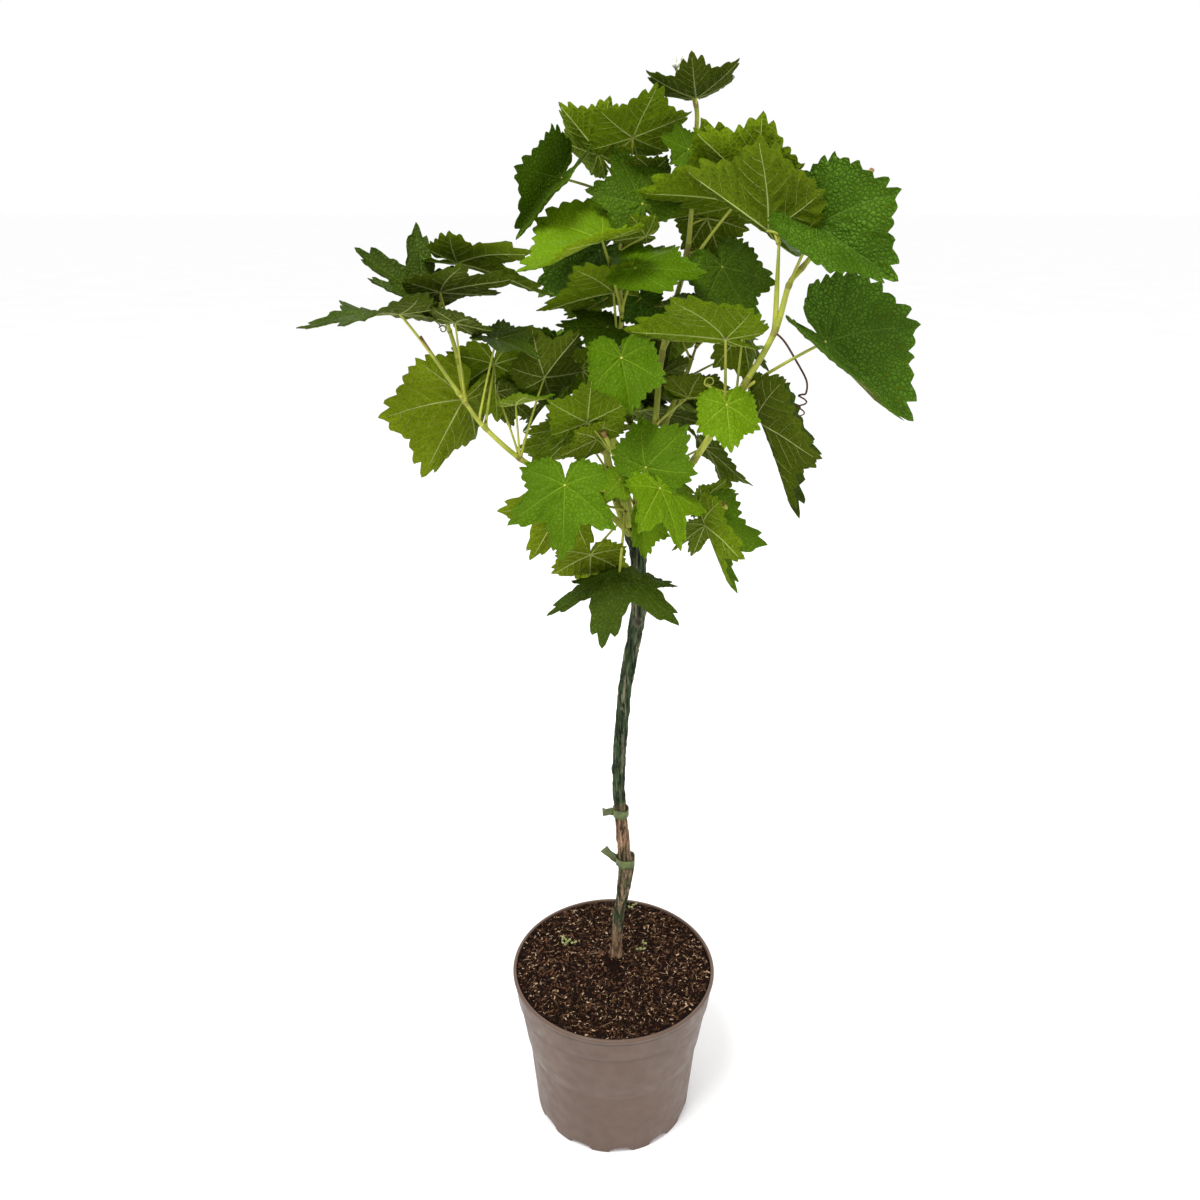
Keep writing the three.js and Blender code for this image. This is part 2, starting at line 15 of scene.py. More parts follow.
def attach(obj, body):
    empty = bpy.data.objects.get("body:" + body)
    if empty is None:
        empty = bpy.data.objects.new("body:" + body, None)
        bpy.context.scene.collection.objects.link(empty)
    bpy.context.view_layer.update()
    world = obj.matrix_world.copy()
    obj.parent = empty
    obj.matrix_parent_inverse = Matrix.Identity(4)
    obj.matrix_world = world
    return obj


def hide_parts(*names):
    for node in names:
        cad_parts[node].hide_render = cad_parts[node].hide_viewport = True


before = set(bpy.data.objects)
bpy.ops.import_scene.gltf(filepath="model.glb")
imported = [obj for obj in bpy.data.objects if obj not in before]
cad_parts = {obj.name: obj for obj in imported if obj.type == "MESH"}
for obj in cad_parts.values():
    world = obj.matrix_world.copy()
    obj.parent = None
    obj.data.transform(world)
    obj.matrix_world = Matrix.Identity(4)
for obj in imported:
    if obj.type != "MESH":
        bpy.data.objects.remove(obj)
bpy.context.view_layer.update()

MM = 0.001

# ---------------------------------------------------------------- sizes shared with the part's source

POT_HEIGHT = 158
POT_TOP_RADIUS = 95
POT_FOOT_RADIUS = 74.5
BAND_TOP_RADIUS = POT_TOP_RADIUS - 1.2  # just under the lip
POT_WALL = 2.2
POT_FLOOR = 6
BAND_HEIGHT = 28
BAND_FOOT_RADIUS = 91.2
BAND_STEP = 1.4
SHOULDER = (83.8, 88)  # where the wall's slant ends below the band, as radius and height
WAIST = (80.8, 75)
LIP_ROUND = 1.8
NOTCH_COUNT = 12
NOTCH_TURN = 5
NOTCH_HALF_WIDTH = 10.5
NOTCH_HEIGHT = 6
NOTCH_DEPTH = 7
NOTCH_RISE = 0.7  # how much height the arch of a notch takes to cut fully in
SOIL_TOP = 156
GAP = 0.3

TRUNK = [
    # x, y, z, radius
    (2.4, 17, 144, 6.4),
    (2.8, 13, 170, 5.3),
    (5, 7, 212, 5.2),
    (8, 4, 236, 5.8),
    (11.5, 2, 266, 7.1),
    (8.5, 1, 288, 5.8),
    (6.3, 0, 319, 5.5),
    (3.4, 0, 352, 5.5),
    (4, 0, 391, 5.8),
    (8, 2, 449, 5.8),
    (15, 1, 495, 6),
    (19.5, 0, 526, 6.9),
    (18.5, 0, 548, 5.9),
    (17, 0, 572, 6.2),
    (15.5, 0, 586, 8.4),
    (15, 0, 600, 5.6),
]

STALK_FOOT_RADIUS = 1.5
STALK_TIP_RADIUS = 1.1

# Radius of a blade's outline by the angle from its tip, for a shallow and for a deeply cut leaf.
OUTLINE_ANGLES = (0, 28, 52, 80, 108, 140, 162, 180)
SHALLOW_RADII = (1.0, 0.8, 0.88, 0.72, 0.68, 0.54, 0.38, 0.1)
DEEP_RADII = (1.05, 0.46, 1.0, 0.42, 0.66, 0.46, 0.34, 0.1)

# A shoot starts on the trunk's head, or on another shoot, and runs through internodes of
# (bearing, rise, length). Its lowest internodes, as many as bough says, are a bare limb of their own.
# A leaf is: node on the shoot, its stalk's (bearing, rise, length), its tip's (bearing, rise), roll,
# size from stalk to tip, the (left, right) fold of its halves, bend, twist, depth of its lobes and tone.
SHOOTS = [
    {
        "name": "left",
        "start": (11, -4, 588),
        "thick": (2.6, 1.3),
        "bough": 3,
        "internodes": [
            (200, 45, 42), (196, 34, 36), (196, 32, 32), (189, 44, 34),
            (197, 55, 24), (192, 58, 54),
        ],
        "leaves": [
            (5.15, (193, 56, 66), (190, 0), 12, 64, (5, 5), 5, 25, 0.3, "dark"),
            (5, (225, 85, 55), (300, 18), -25, 30, (0, 0), 0, 0, 0.2, "dark"),
            (5, (100, -5, 18), (165, -58), 60, 66, (0, 52), 0, 0, 0.1, "gold"),
            (4, (75, 60, 48), (95, -60), 0, 50, (0, 0), 0, 0, 0.1, "fresh"),
            (3, (120, 50, 56), (60, -62), 0, 32, (0, 0), 0, 0, 0.3, "dark"),
            (3, (0, 72, 62), (25, 50), -60, 40, (0, 65), 0, 0, 0.3, "dark"),
            (3, (260, 80, 42), (350, 15), -8, 28, (20, 20), 0, 0, 0.2, "fresh"),
            (4.3, (20, 75, 58), (335, -12), 10, 34, (15, 15), 10, 0, 0.4, "dark"),
        ],
    },
    {
        "name": "left_side",
        "on": ("left", 5),
        "thick": (1.8, 1.3),
        "bough": 0,
        "internodes": [(130, 78, 28), (140, 70, 22), (130, 50, 20)],
        "leaves": [
            (3, (190, 30, 12), (180, 36), -30, 50, (25, 40), 0, 0, 0.9, "dark"),
            (3, (340, 60, 34), (15, -12), -28, 62, (30, 2), 15, 0, 0.9, "mid"),
            (2, (255, 65, 30), (352, 14), -25, 50, (10, 0), 5, 0, 0.6, "dark"),
        ],
    },
    {
        "name": "right",
        "start": (17, -6, 588),
        "thick": (2.8, 1.5),
        "bough": 2,
        "internodes": [
            (331, 57, 36), (333, 54, 43), (340, 59, 68), (341, 63, 41),
            (0, 76, 31), (14, 52, 14), (28, 45, 42), (36, 49, 42),
        ],
        "leaves": [
            (2.6, (250, 83, 54), (172, 6), 60, 66, (-25, 55), 0, 0, 0.2, "fresh"),
            (2.8, (65, 75, 46), (0, -78), -120, 38, (70, 45), 0, 0, 0.2, "mid"),
            (2, (300, 52, 59), (282, -62), 0, 31, (0, 0), 0, 0, 0.1, "lime"),
            (2.9, (20, -50, 27), (326, -61), 2, 72, (8, 66), 0, 0, 0.2, "dark"),
            (2.88, (346, 33, 68), (348, -38), 54, 77, (8, 60), 0, 0, 0, "deep"),
            (5, (322, 66, 42), (330, -30), 74, 61, (20, 65), 0, 0, 0, "deep"),
        ],
    },
    {
        "name": "right_side",
        "on": ("right", 4),
        "thick": (1.9, 1.5),
        "bough": 0,
        "internodes": [(180, 89, 63)],
        "leaves": [
            (1, (150, 10, 8), (168, 34), 62, 66, (0, 70), 0, 0, 0.1, "mid"),
            (0.9, (130, 53, 42), (180, 43), 60, 52, (0, 50), 0, 0, 0.1, "fresh"),
        ],
    },
    {
        "name": "front",
        "start": (10, -8, 596),
        "thick": (2.5, 1.7),
        "bough": 0,
        "internodes": [(235, 70, 26), (231, 74, 34), (210, 62, 24)],
        "leaves": [
            (1, (160, 55, 64), (190, -5), 45, 38, (0, 0), 0, 0, 0.2, "fresh"),
            (2, (200, 52, 36), (278, 62), 0, 40, (0, 0), 0, 0, 0.1, "fresh"),
            (1, (235, 20, 78), (262, -70), 0, 48, (12, 12), 0, 0, 0.55, "fresh"),
            (0.6, (220, 15, 62), (168, -60), 60, 49, (20, 0), 0, 0, 0.6, "gold"),
            (2, (170, 45, 20), (200, -20), 50, 30, (0, 0), 0, 0, 0.2, "gold"),
            (1, (260, 50, 24), (218, -35), -30, 20, (0, 0), 0, 0, 0.2, "lime"),
            (0.4, (210, -40, 42), (93, -58), 0, 40, (0, 0), 0, 0, 0.2, "gold"),
            (0.6, (260, -55, 50), (255, 0), 0, 66, (-15, -22), 60, 0, 0.75, "dark"),
        ],
    },
    {
        "name": "centre",
        "start": (12, -1, 600),
        "thick": (2.2, 1.2),
        "bough": 1,
        "internodes": [
            (143, 75, 38), (150, 73, 30), (60, 84, 20), (0, 70, 13),
            (180, 87, 29), (0, 85, 29), (220, 84, 30), (315, 83, 23),
        ],
        "leaves": [
            (6, (288, 48, 42), (355, 2), 28, 47, (0, 10), 0, 0, 0.1, "fresh"),
            (4, (270, 30, 64), (292, -60), 0, 38, (8, 8), 0, 0, 0, "fresh"),
            (5, (200, 85, 42), (190, -7), 40, 54, (0, 20), 0, 0, 0.2, "fresh"),
            (4.4, (200, 75, 36), (195, 5), -25, 36, (0, 0), 0, 0, 0.4, "mid"),
            (6, (240, 60, 58), (195, -15), -20, 60, (35, 20), 10, 0, 0, "lime"),
            (5.6, (43, 43, 28), (300, -75), 0, 28, (10, 10), 0, 0, 0.2, "deep"),
            (7.5, (350, 30, 21), (200, -5), 60, 24, (0, 40), 0, 0, 0.2, "fresh"),
        ],
    },
    {
        "name": "top",
        "start": (19, 6, 592),
        "thick": (2.7, 1.4),
        "bough": 2,
        "internodes": [
            (61, 66, 40), (70, 74, 39), (42, 84, 54), (347, 77, 40),
            (347, 77, 38), (281, 81, 66), (260, 81, 32), (196, 54, 26),
        ],
        "leaves": [
            (2, (320, 40, 40), (22, -3), -95, 38, (120, 58), 0, 0, 0.2, "gold"),
            (5, (330, -20, 30), (325, -55), 30, 46, (0, 0), 0, 0, 0.2, "mid"),
            (4.6, (330, 50, 64), (188, 8), 62, 68, (0, 48), 0, 0, 0.3, "fresh"),
            (6.9, (265, 60, 8), (262, 10), 6, 42, (22, 16), -40, 0, 0.3, "dark"),
            (5.3, (40, 10, 18), (20, -65), -60, 34, (0, 0), 0, 0, 0.2, "mid"),
            (6, (247, 10, 14), (200, 20), -60, 22, (0, 0), 0, 0, 0.2, "fresh"),
            (3, (335, 62, 46), (190, 0), 30, 27, (0, 0), 0, 0, 0.6, "dark"),
        ],
    },
    {
        "name": "inner",
        "start": (11, 8, 592),
        "thick": (2.4, 1.3),
        "bough": 1,
        "internodes": [(131, 64, 67), (103, 79, 107), (0, 73, 75), (294, 83, 30)],
        "leaves": [
            (2.6, (290, 30, 56), (148, 60), -40, 42, (0, 0), 0, 0, 0.3, "mid"),
            (2.9, (320, 20, 30), (100, 60), 180, 26, (0, 0), 0, 0, 0.2, "fresh"),
            (3, (225, 45, 46), (188, 50), 60, 40, (15, 42), 0, 0, 0.1, "fresh"),
            (3, (272, 55, 52), (292, 40), 0, 46, (0, 0), 0, 0, 0.1, "fresh"),
            (3, (300, 35, 36), (190, 5), 30, 28, (0, 0), 0, 0, 0.3, "mid"),
            (1.4, (200, 40, 24), (205, -5), 60, 34, (0, 0), 0, 0, 0.3, "fresh"),
            (3, (203, 17, 56), (222, -40), -20, 54, (50, 85), 0, 0, 0.1, "mid"),
            (2.4, (222, 38, 15), (205, -28), -40, 54, (10, 10), 0, 0, 0.1, "deep"),
        ],
    },
    {
        "name": "back_left",
        "start": (8, 6, 586),
        "thick": (2.8, 1.5),
        "bough": 1,
        "internodes": [(130, 62, 42), (112, 66, 38), (128, 56, 34), (110, 50, 28)],
        "grown": 7,  # the seed of its leaves, which the rule below places
        "leaves": [],
    },
    {
        "name": "back_right",
        "start": (20, 8, 588),
        "thick": (2.8, 1.5),
        "bough": 1,
        "internodes": [(52, 64, 46), (68, 62, 42), (48, 54, 38), (62, 46, 32)],
        "grown": 17,  # the seed of its leaves, which the rule below places
        "leaves": [],
    },
    {
        "name": "back",
        "start": (15, 11, 584),
        "thick": (2.6, 1.4),
        "bough": 1,
        "internodes": [(88, 42, 42), (98, 50, 40), (84, 38, 34)],
        "grown": 31,  # the seed of its leaves, which the rule below places
        "leaves": [],
    },
    {
        "name": "low",
        "start": (22, -6, 594),
        "thick": (2.4, 1.6),
        "bough": 0,
        "internodes": [(320, 30, 26), (345, 15, 26), (15, 5, 20)],
        "leaves": [
            (0.6, (250, 55, 62), (10, 45), 60, 40, (0, 0), 0, 0, 0.1, "fresh"),
            (0.8, (262, 40, 56), (312, -48), 0, 43, (0, 0), 10, 0, 0.5, "lime"),
            (3, (190, -35, 20), (320, -64), -20, 54, (50, 50), 0, 0, 0.5, "fresh"),
            (3, (145, 5, 20), (22, 10), -60, 27, (0, 0), 0, 0, 0.2, "fresh"),
            (3, (140, -45, 26), (120, -60), 0, 32, (0, 0), 0, 0, 0.6, "mid"),
            (0.5, (245, 20, 32), (308, -78), 0, 28, (30, 30), 0, 0, 0.2, "lime"),
        ],
    },
]
NODE_ROOM = 12  # how clear of the other shoots a grown leaf's heart stays
CROWN_MIDDLE = np.array([0, 20, 730])
CROWN_REACH = np.array([250, 160, 215])
GROWN_TONES = ("deep", "mid", "dark", "fresh")

# ---------------------------------------------------------------- colours

# Each tone of leaf: the upper side, the underside and the veins on each. The tones are partly the leaves' own
# colours, young and old, and partly painted light and shade: a leaf in more light takes a paler tone and one
# in shade a darker one.
LEAF_TONES = {
    "lime": ((93, 124, 4), (112, 134, 14), (126, 150, 34), (168, 182, 92)),
    "fresh": ((74, 104, 2), (90, 110, 10), (100, 128, 22), (160, 172, 92)),
    "mid": ((62, 88, 4), (78, 94, 10), (82, 106, 26), (156, 166, 96)),
    "deep": ((64, 95, 10), (72, 88, 8), (80, 108, 32), (148, 158, 90)),
    "dark": ((54, 72, 6), (62, 74, 9), (72, 90, 26), (136, 144, 84)),
    "gold": ((84, 110, 4), (96, 112, 12), (112, 134, 36), (166, 176, 98)),
}
LEAF_LOOKS = 6  # materials of each tone of leaf
LEAF_PAINTED_SHEEN = (12, 14, 20)  # painted sheen: the pale, bluish light that the cushions of a fully quilted leaf reflect, painted into their colour
BRANCH_SHOW = 0.65  # how far a side vein's colour stands off the blade's, towards the main vein's
# How quilted each tone's upper side is: how strong the bumps of its cushions are, and how strong the painted
# sheen on them and the painted shade between them are.
QUILTED = {"deep": 0.9, "dark": 0.6, "mid": 0.6, "fresh": 0.38, "gold": 0.4, "lime": 0.3}
STEM_GREEN = (140, 150, 36)
STEM_PALE = (184, 188, 68)
STEM_NODE = (136, 126, 58)
STEM_CUT = (142, 112, 72)
TENDRIL = (96, 100, 56)
OLD_TENDRIL = (84, 58, 44)
WOOL = (226, 228, 206)
BUD = (104, 82, 44)
BARK_GREY = (134, 128, 102)
BARK_TAN = (126, 98, 74)
BARK_PEELED = (164, 134, 108)
BARK_OLIVE = (76, 74, 50)
BARK_GREEN = (52, 66, 42)
TIE_GREEN = (80, 90, 42)
POT_TAUPE = (89, 68, 54)
POT_PALE = (99, 77, 63)
PEAT = (26, 13, 7)
# the near-black painted shade in the peat's hollows
PEAT_HOLLOW_SHADE = (8, 4, 2)
CHIP_COLOURS = ((94, 64, 45), (52, 33, 22), (172, 145, 116), (28, 16, 10), (75, 54, 35))
SEEDLING = (138, 144, 92)
PAINTED_SHADE_HEIGHTS = (POT_HEIGHT - BAND_HEIGHT + 0.6, POT_HEIGHT - 5.8)  # heights of painted shade: along the band's lower edge, and under the lip
PAINTED_SEAM_SHADE = 0.55  # how much of its light a seam keeps under its painted shade
PAINTED_SEAM_SPREAD = (0.0004, 0.0014)  # where a seam's painted shade is whole and where it ends, in metres
FLOOR_WHITE = (252, 252, 252)
BARK_BY_HEIGHT = (
    # a part of the way up the bare trunk, and the bark's colour there
    (0.0, BARK_TAN),
    (0.05, BARK_TAN),
    (0.08, BARK_GREEN),
    (0.16, BARK_GREEN),
    (0.19, BARK_OLIVE),
    (0.27, BARK_OLIVE),
    (0.31, BARK_TAN),
    (0.37, BARK_TAN),
    (0.4, BARK_GREEN),
    (0.62, BARK_GREEN),
    (1.0, BARK_GREEN),
)
BARK_EYE = (18.2, -5.4, 513)  # the middle of the old knot near the head, in millimetres
EYE_RINGS = (
    # a distance from the knot's middle in metres, and the colour painted there: near black at the middle is
    # painted shade in the knot's hollow, with a pale ring round it
    (0.0, (14, 12, 8)),
    (0.0017, (20, 18, 12)),
    (0.0026, (140, 132, 108)),
    (0.0044, (78, 80, 62)),
)
QUILT_WAVES = 330  # cushions between the smallest veins, a metre


def linear(colour):
    """A colour of 0 to 255 as shown on a screen, as the linear values that a shader takes."""
    parts = [c / 255 for c in colour]
    return tuple(p / 12.92 if p <= 0.04045 else ((p + 0.055) / 1.055) ** 2.4 for p in parts) + (1.0,)


# ---------------------------------------------------------------- materials


def new_material(name, roughness, gloss=0.5):
    """A material with its node tree, its shader, and Object coordinates."""
    material = bpy.data.materials.new(name)
    material.use_nodes = True
    tree = material.node_tree
    shader = tree.nodes["Principled BSDF"]
    shader.inputs["Roughness"].default_value = roughness
    shader.inputs["Specular IOR Level"].default_value = gloss
    places = tree.nodes.new("ShaderNodeTexCoord")
    return material, tree, shader, places.outputs["Object"]


def noise_of(tree, places, scale, detail=4.0, roughness=0.55, stretch=None):
    """Noise of that many waves a metre, drawn out along an axis where stretch says so."""
    texture = tree.nodes.new("ShaderNodeTexNoise")
    texture.inputs["Scale"].default_value = scale
    texture.inputs["Detail"].default_value = detail
    texture.inputs["Roughness"].default_value = roughness
    if stretch:
        mapping = tree.nodes.new("ShaderNodeMapping")
        mapping.inputs["Scale"].default_value = stretch
        tree.links.new(places, mapping.inputs["Vector"])
        places = mapping.outputs["Vector"]
    tree.links.new(places, texture.inputs["Vector"])
    return texture.outputs["Fac"]


def cells_of(tree, places, scale):
    """How far each point lies from the edge of its cell, for cells of that many a metre."""
    texture = tree.nodes.new("ShaderNodeTexVoronoi")
    texture.feature = "DISTANCE_TO_EDGE"
    texture.inputs["Scale"].default_value = scale
    tree.links.new(places, texture.inputs["Vector"])
    return texture.outputs["Distance"]


def ramp_of(tree, value, *stops):
    """A colour ramp over a value, from (position, colour) stops."""
    ramp = tree.nodes.new("ShaderNodeValToRGB")
    while len(ramp.color_ramp.elements) < len(stops):
        ramp.color_ramp.elements.new(0.5)
    for element, (position, colour) in zip(ramp.color_ramp.elements, stops):
        element.position = position
        element.color = linear(colour)
    tree.links.new(value, ramp.inputs["Fac"])
    return ramp.outputs["Color"]


def mottled(tree, patches, colour, dark, light):
    """One colour made darker and lighter by the patches of a noise."""
    return ramp_of(tree, patches, (0.3, shaded(colour, dark)), (0.7, shaded(colour, light)))


def mixed(tree, factor, first, second):
    """The two colours mixed by a factor between 0 and 1."""
    mix = tree.nodes.new("ShaderNodeMix")
    mix.data_type = "RGBA"
    tree.links.new(factor, mix.inputs["Factor"])
    tree.links.new(first, mix.inputs["A"])
    tree.links.new(second, mix.inputs["B"])
    return mix.outputs["Result"]


def dimmed(tree, colour, share):
    """The colour made lighter or darker by a value that varies over the surface."""
    scale = tree.nodes.new("ShaderNodeVectorMath")
    scale.operation = "SCALE"
    tree.links.new(colour, scale.inputs["Vector"])
    tree.links.new(share, scale.inputs["Scale"])
    return scale.outputs["Vector"]


def ranged(tree, value, from_low, from_high, to_low=0.0, to_high=1.0):
    """The value mapped from one range to another, and held inside it."""
    node = tree.nodes.new("ShaderNodeMapRange")
    node.inputs["From Min"].default_value = from_low
    node.inputs["From Max"].default_value = from_high
    node.inputs["To Min"].default_value = to_low
    node.inputs["To Max"].default_value = to_high
    tree.links.new(value, node.inputs["Value"])
    return node.outputs["Result"]


def bumped(tree, shader, height, depth, strength=1.0):
    """Relief of that depth in metres from a height between 0 and 1."""
    bump = tree.nodes.new("ShaderNodeBump")
    bump.inputs["Distance"].default_value = depth
    bump.inputs["Strength"].default_value = strength
    tree.links.new(height, bump.inputs["Height"])
    tree.links.new(bump.outputs["Normal"], shader.inputs["Normal"])


def shaded(colour, share):
    """The colour made that much darker or lighter."""
    return tuple(min(255, c * share) for c in colour)


def upper_material(name, colour, quilted):
    """The upper side of a leaf: quilted, with painted sheen on its pale cushions and painted shade along the
    dark sunken veinlets between them.
    """
    material, tree, shader, places = new_material(name, 0.5, 0.07)
    cushions = cells_of(tree, places, QUILT_WAVES)
    # painted sheen lightens the cushions, and painted shade darkens the sunken veinlets between them
    painted_sheen = tuple(c * (1 + 0.16 * quilted) + extra * quilted for c, extra in zip(colour, LEAF_PAINTED_SHEEN))
    shaded_crease = shaded(colour, 1 - 0.3 * quilted)
    painted_quilt_light = ramp_of(tree, cushions, (0.0, shaded_crease), (0.07, colour), (0.2, painted_sheen))
    # a fainter painted shade along the veinlets
    flat = ramp_of(tree, cushions, (0.0, shaded(colour, 1 - 0.14 * quilted)), (0.2, colour))
    cloud = ranged(tree, noise_of(tree, places, 38, 3), 0.35, 0.65)
    drift = ranged(tree, noise_of(tree, places, 24, 2), 0.3, 0.7, 0.86, 1.1)
    tree.links.new(dimmed(tree, mixed(tree, cloud, flat, painted_quilt_light), drift), shader.inputs["Base Color"])
    bumped(tree, shader, cushions, 0.0022, 0.4 + 0.5 * quilted)
    return material


def under_material(name, colour):
    """The underside of a leaf: matt and paler, with a fine net of raised veinlets."""
    material, tree, shader, places = new_material(name, 0.75, 0.05)
    net = cells_of(tree, places, QUILT_WAVES)
    light, even, dark = (shaded(colour, share) for share in (1.22, 1.02, 0.9))
    fine = ramp_of(tree, net, (0.0, light), (0.1, even), (0.4, dark))
    plain = ramp_of(tree, net, (0.0, shaded(colour, 1.1)), (0.12, colour))
    cloud = ranged(tree, noise_of(tree, places, 38, 3), 0.35, 0.65)
    drift = ranged(tree, noise_of(tree, places, 24, 2), 0.3, 0.7, 0.84, 1.12)
    tree.links.new(dimmed(tree, mixed(tree, cloud, plain, fine), drift), shader.inputs["Base Color"])
    bumped(tree, shader, net, -0.0014, 0.6)
    return material


def vein_material(name, colour):
    """A raised vein, a little uneven in tone."""
    material, tree, shader, places = new_material(name, 0.6, 0.1)
    tone = mottled(tree, noise_of(tree, places, 120), colour, 0.9, 1.08)
    tree.links.new(tone, shader.inputs["Base Color"])
    return material


def stem_material(name, colour, other, roughness=0.5):
    """A green shoot: fine lengthwise ribs and tones that drift along it."""
    material, tree, shader, places = new_material(name, roughness)
    drift = ramp_of(tree, noise_of(tree, places, 60, 3), (0.35, colour), (0.7, other))
    tree.links.new(drift, shader.inputs["Base Color"])
    bumped(tree, shader, noise_of(tree, places, 900, 2, 0.5, (1, 1, 0.08)), 0.0004, 0.6)
    return material


def distance_from(tree, places, point):
    """How far each place lies from a point given in millimetres."""
    node = tree.nodes.new("ShaderNodeVectorMath")
    node.operation = "DISTANCE"
    node.inputs[1].default_value = [c * MM for c in point]
    tree.links.new(places, node.inputs[0])
    return node.outputs["Value"]


def bark_material():
    """Old vine bark: peeled and brown low down, stained green above, with pale strips, and painted shade
    darkening its fissures.
    """
    material, tree, shader, places = new_material("bark", 0.85, 0.15)
    split = tree.nodes.new("ShaderNodeSeparateXYZ")
    tree.links.new(places, split.inputs["Vector"])
    low, high = SOIL_TOP * MM, TRUNK[-1][2] * MM
    ragged = noise_of(tree, places, 110, 4, 0.6, (1, 1, 0.3))
    wander = tree.nodes.new("ShaderNodeMath")
    wander.operation = "ADD"
    tree.links.new(ranged(tree, split.outputs["Z"], low, high), wander.inputs[0])
    tree.links.new(ranged(tree, ragged, 0.3, 0.7, -0.035, 0.035), wander.inputs[1])
    by_height = ramp_of(tree, wander.outputs[0], *BARK_BY_HEIGHT)
    fissures = noise_of(tree, places, 460, 6, 0.7, (1, 1, 0.12))
    # painted shade in the fissures, and lighter on the ridges between them
    fissure_shaded_bark = dimmed(tree, by_height, ranged(tree, fissures, 0.41, 0.6, 0.15, 1.65))
    strips = ranged(tree, noise_of(tree, places, 210, 5, 0.62, (1, 1, 0.12)), 0.52, 0.6, 0.0, 0.8)
    peeled = ramp_of(tree, wander.outputs[0], (0.0, BARK_PEELED), (0.35, BARK_PEELED), (0.45, BARK_GREY))
    # the pale strips take the same painted shade in their fissures
    pale = dimmed(tree, peeled, ranged(tree, fissures, 0.4, 0.58, 0.4, 1.15))
    bark = mixed(tree, strips, fissure_shaded_bark, pale)
    # the old knot: painted shade, near black, in its hollow, with a pale ring round it
    eye = distance_from(tree, places, BARK_EYE)
    ring = dimmed(tree, ramp_of(tree, eye, *EYE_RINGS), ranged(tree, fissures, 0.4, 0.6, 0.5, 1.3))
    bark = mixed(tree, ranged(tree, eye, 0.0036, 0.0058, 1.0, 0.0), bark, ring)
    tree.links.new(bark, shader.inputs["Base Color"])
    bumped(tree, shader, fissures, 0.0022, 1.0)
    return material


def tie_material():
    """Soft stretched tie tape: dull green with fine lengthwise pleats."""
    material, tree, shader, places = new_material("tie_tape", 0.55)
    tone = mottled(tree, noise_of(tree, places, 160), TIE_GREEN, 0.72, 1.2)
    tree.links.new(tone, shader.inputs["Base Color"])
    bumped(tree, shader, noise_of(tree, places, 500, 2, 0.5, (0.2, 0.2, 1)), 0.0005, 0.6)
    return material


def painted_shade_share(tree, height, shaded_crease):
    """A share that falls towards dark at a height given in millimetres: painted shade along a seam."""
    off = tree.nodes.new("ShaderNodeMath")
    off.operation = "SUBTRACT"
    off.inputs[1].default_value = shaded_crease * MM
    tree.links.new(height, off.inputs[0])
    far = tree.nodes.new("ShaderNodeMath")
    far.operation = "ABSOLUTE"
    tree.links.new(off.outputs[0], far.inputs[0])
    return ranged(tree, far.outputs[0], *PAINTED_SEAM_SPREAD, PAINTED_SEAM_SHADE, 1.0)


def pot_material():
    """Moulded taupe plastic with a satin face, faint flow marks, dust near its foot, and painted shade in two
    lines: along the band's lower edge and under the lip.
    """
    material, tree, shader, places = new_material("pot_plastic", 0.48)
    flow = noise_of(tree, places, 26, 5, 0.6, (1, 1, 0.25))
    body = mottled(tree, flow, POT_TAUPE, 0.95, 1.04)
    dust = ramp_of(tree, noise_of(tree, places, 210, 6, 0.7), (0.4, POT_TAUPE), (0.75, POT_PALE))
    split = tree.nodes.new("ShaderNodeSeparateXYZ")
    tree.links.new(places, split.inputs["Vector"])
    low = ranged(tree, split.outputs["Z"], 0.0, POT_HEIGHT * MM * 0.5, 0.5, 0.0)
    colour = mixed(tree, low, body, dust)
    # painted shade: dark lines along the band's lower edge and under the lip
    for shaded_crease in PAINTED_SHADE_HEIGHTS:
        colour = dimmed(tree, colour, painted_shade_share(tree, split.outputs["Z"], shaded_crease))
    tree.links.new(colour, shader.inputs["Base Color"])
    rough = ranged(tree, noise_of(tree, places, 90, 4), 0.3, 0.7, 0.4, 0.6)
    tree.links.new(rough, shader.inputs["Roughness"])
    bumped(tree, shader, noise_of(tree, places, 700, 3), 0.0002, 0.35)
    return material


def soil_material():
    """Dark moist peat, with painted shade black in its hollows, and brown on its crumbs."""
    material, tree, shader, places = new_material("peat", 0.95, 0.08)
    crumbs = noise_of(tree, places, 420, 8, 0.7)
    # painted shade, near black, in the hollows between the crumbs
    tone = ramp_of(tree, crumbs, (0.36, PEAT_HOLLOW_SHADE), (0.52, PEAT), (0.66, shaded(PEAT, 1.8)))
    tree.links.new(tone, shader.inputs["Base Color"])
    bumped(tree, shader, crumbs, 0.003, 1.0)
    return material


def plain_material(name, colour, roughness=0.7, waves=300):
    """A small thing of one colour, with light and dark drifting through it."""
    material, tree, shader, places = new_material(name, roughness, 0.08)
    tone = mottled(tree, noise_of(tree, places, waves), colour, 0.8, 1.2)
    tree.links.new(tone, shader.inputs["Base Color"])
    return material


# ---------------------------------------------------------------- directions, paths and chance


def way(bearing, rise):
    """The unit vector of a bearing and a rise."""
    b, r = math.radians(bearing), math.radians(rise)
    return np.array([math.cos(b) * math.cos(r), math.sin(b) * math.cos(r), math.sin(r)])


def seeded(seed):
    """A seeded draw, the same in any language: Park and Miller's generator."""
    state = seed

    def draw(low, high):
        nonlocal state
        state = state * 16807 % 2147483647
        return low + (high - low) * state / 2147483647

    return draw


def shoot_named(name):
    """The row of a shoot in the table."""
    return next(shoot for shoot in SHOOTS if shoot["name"] == name)


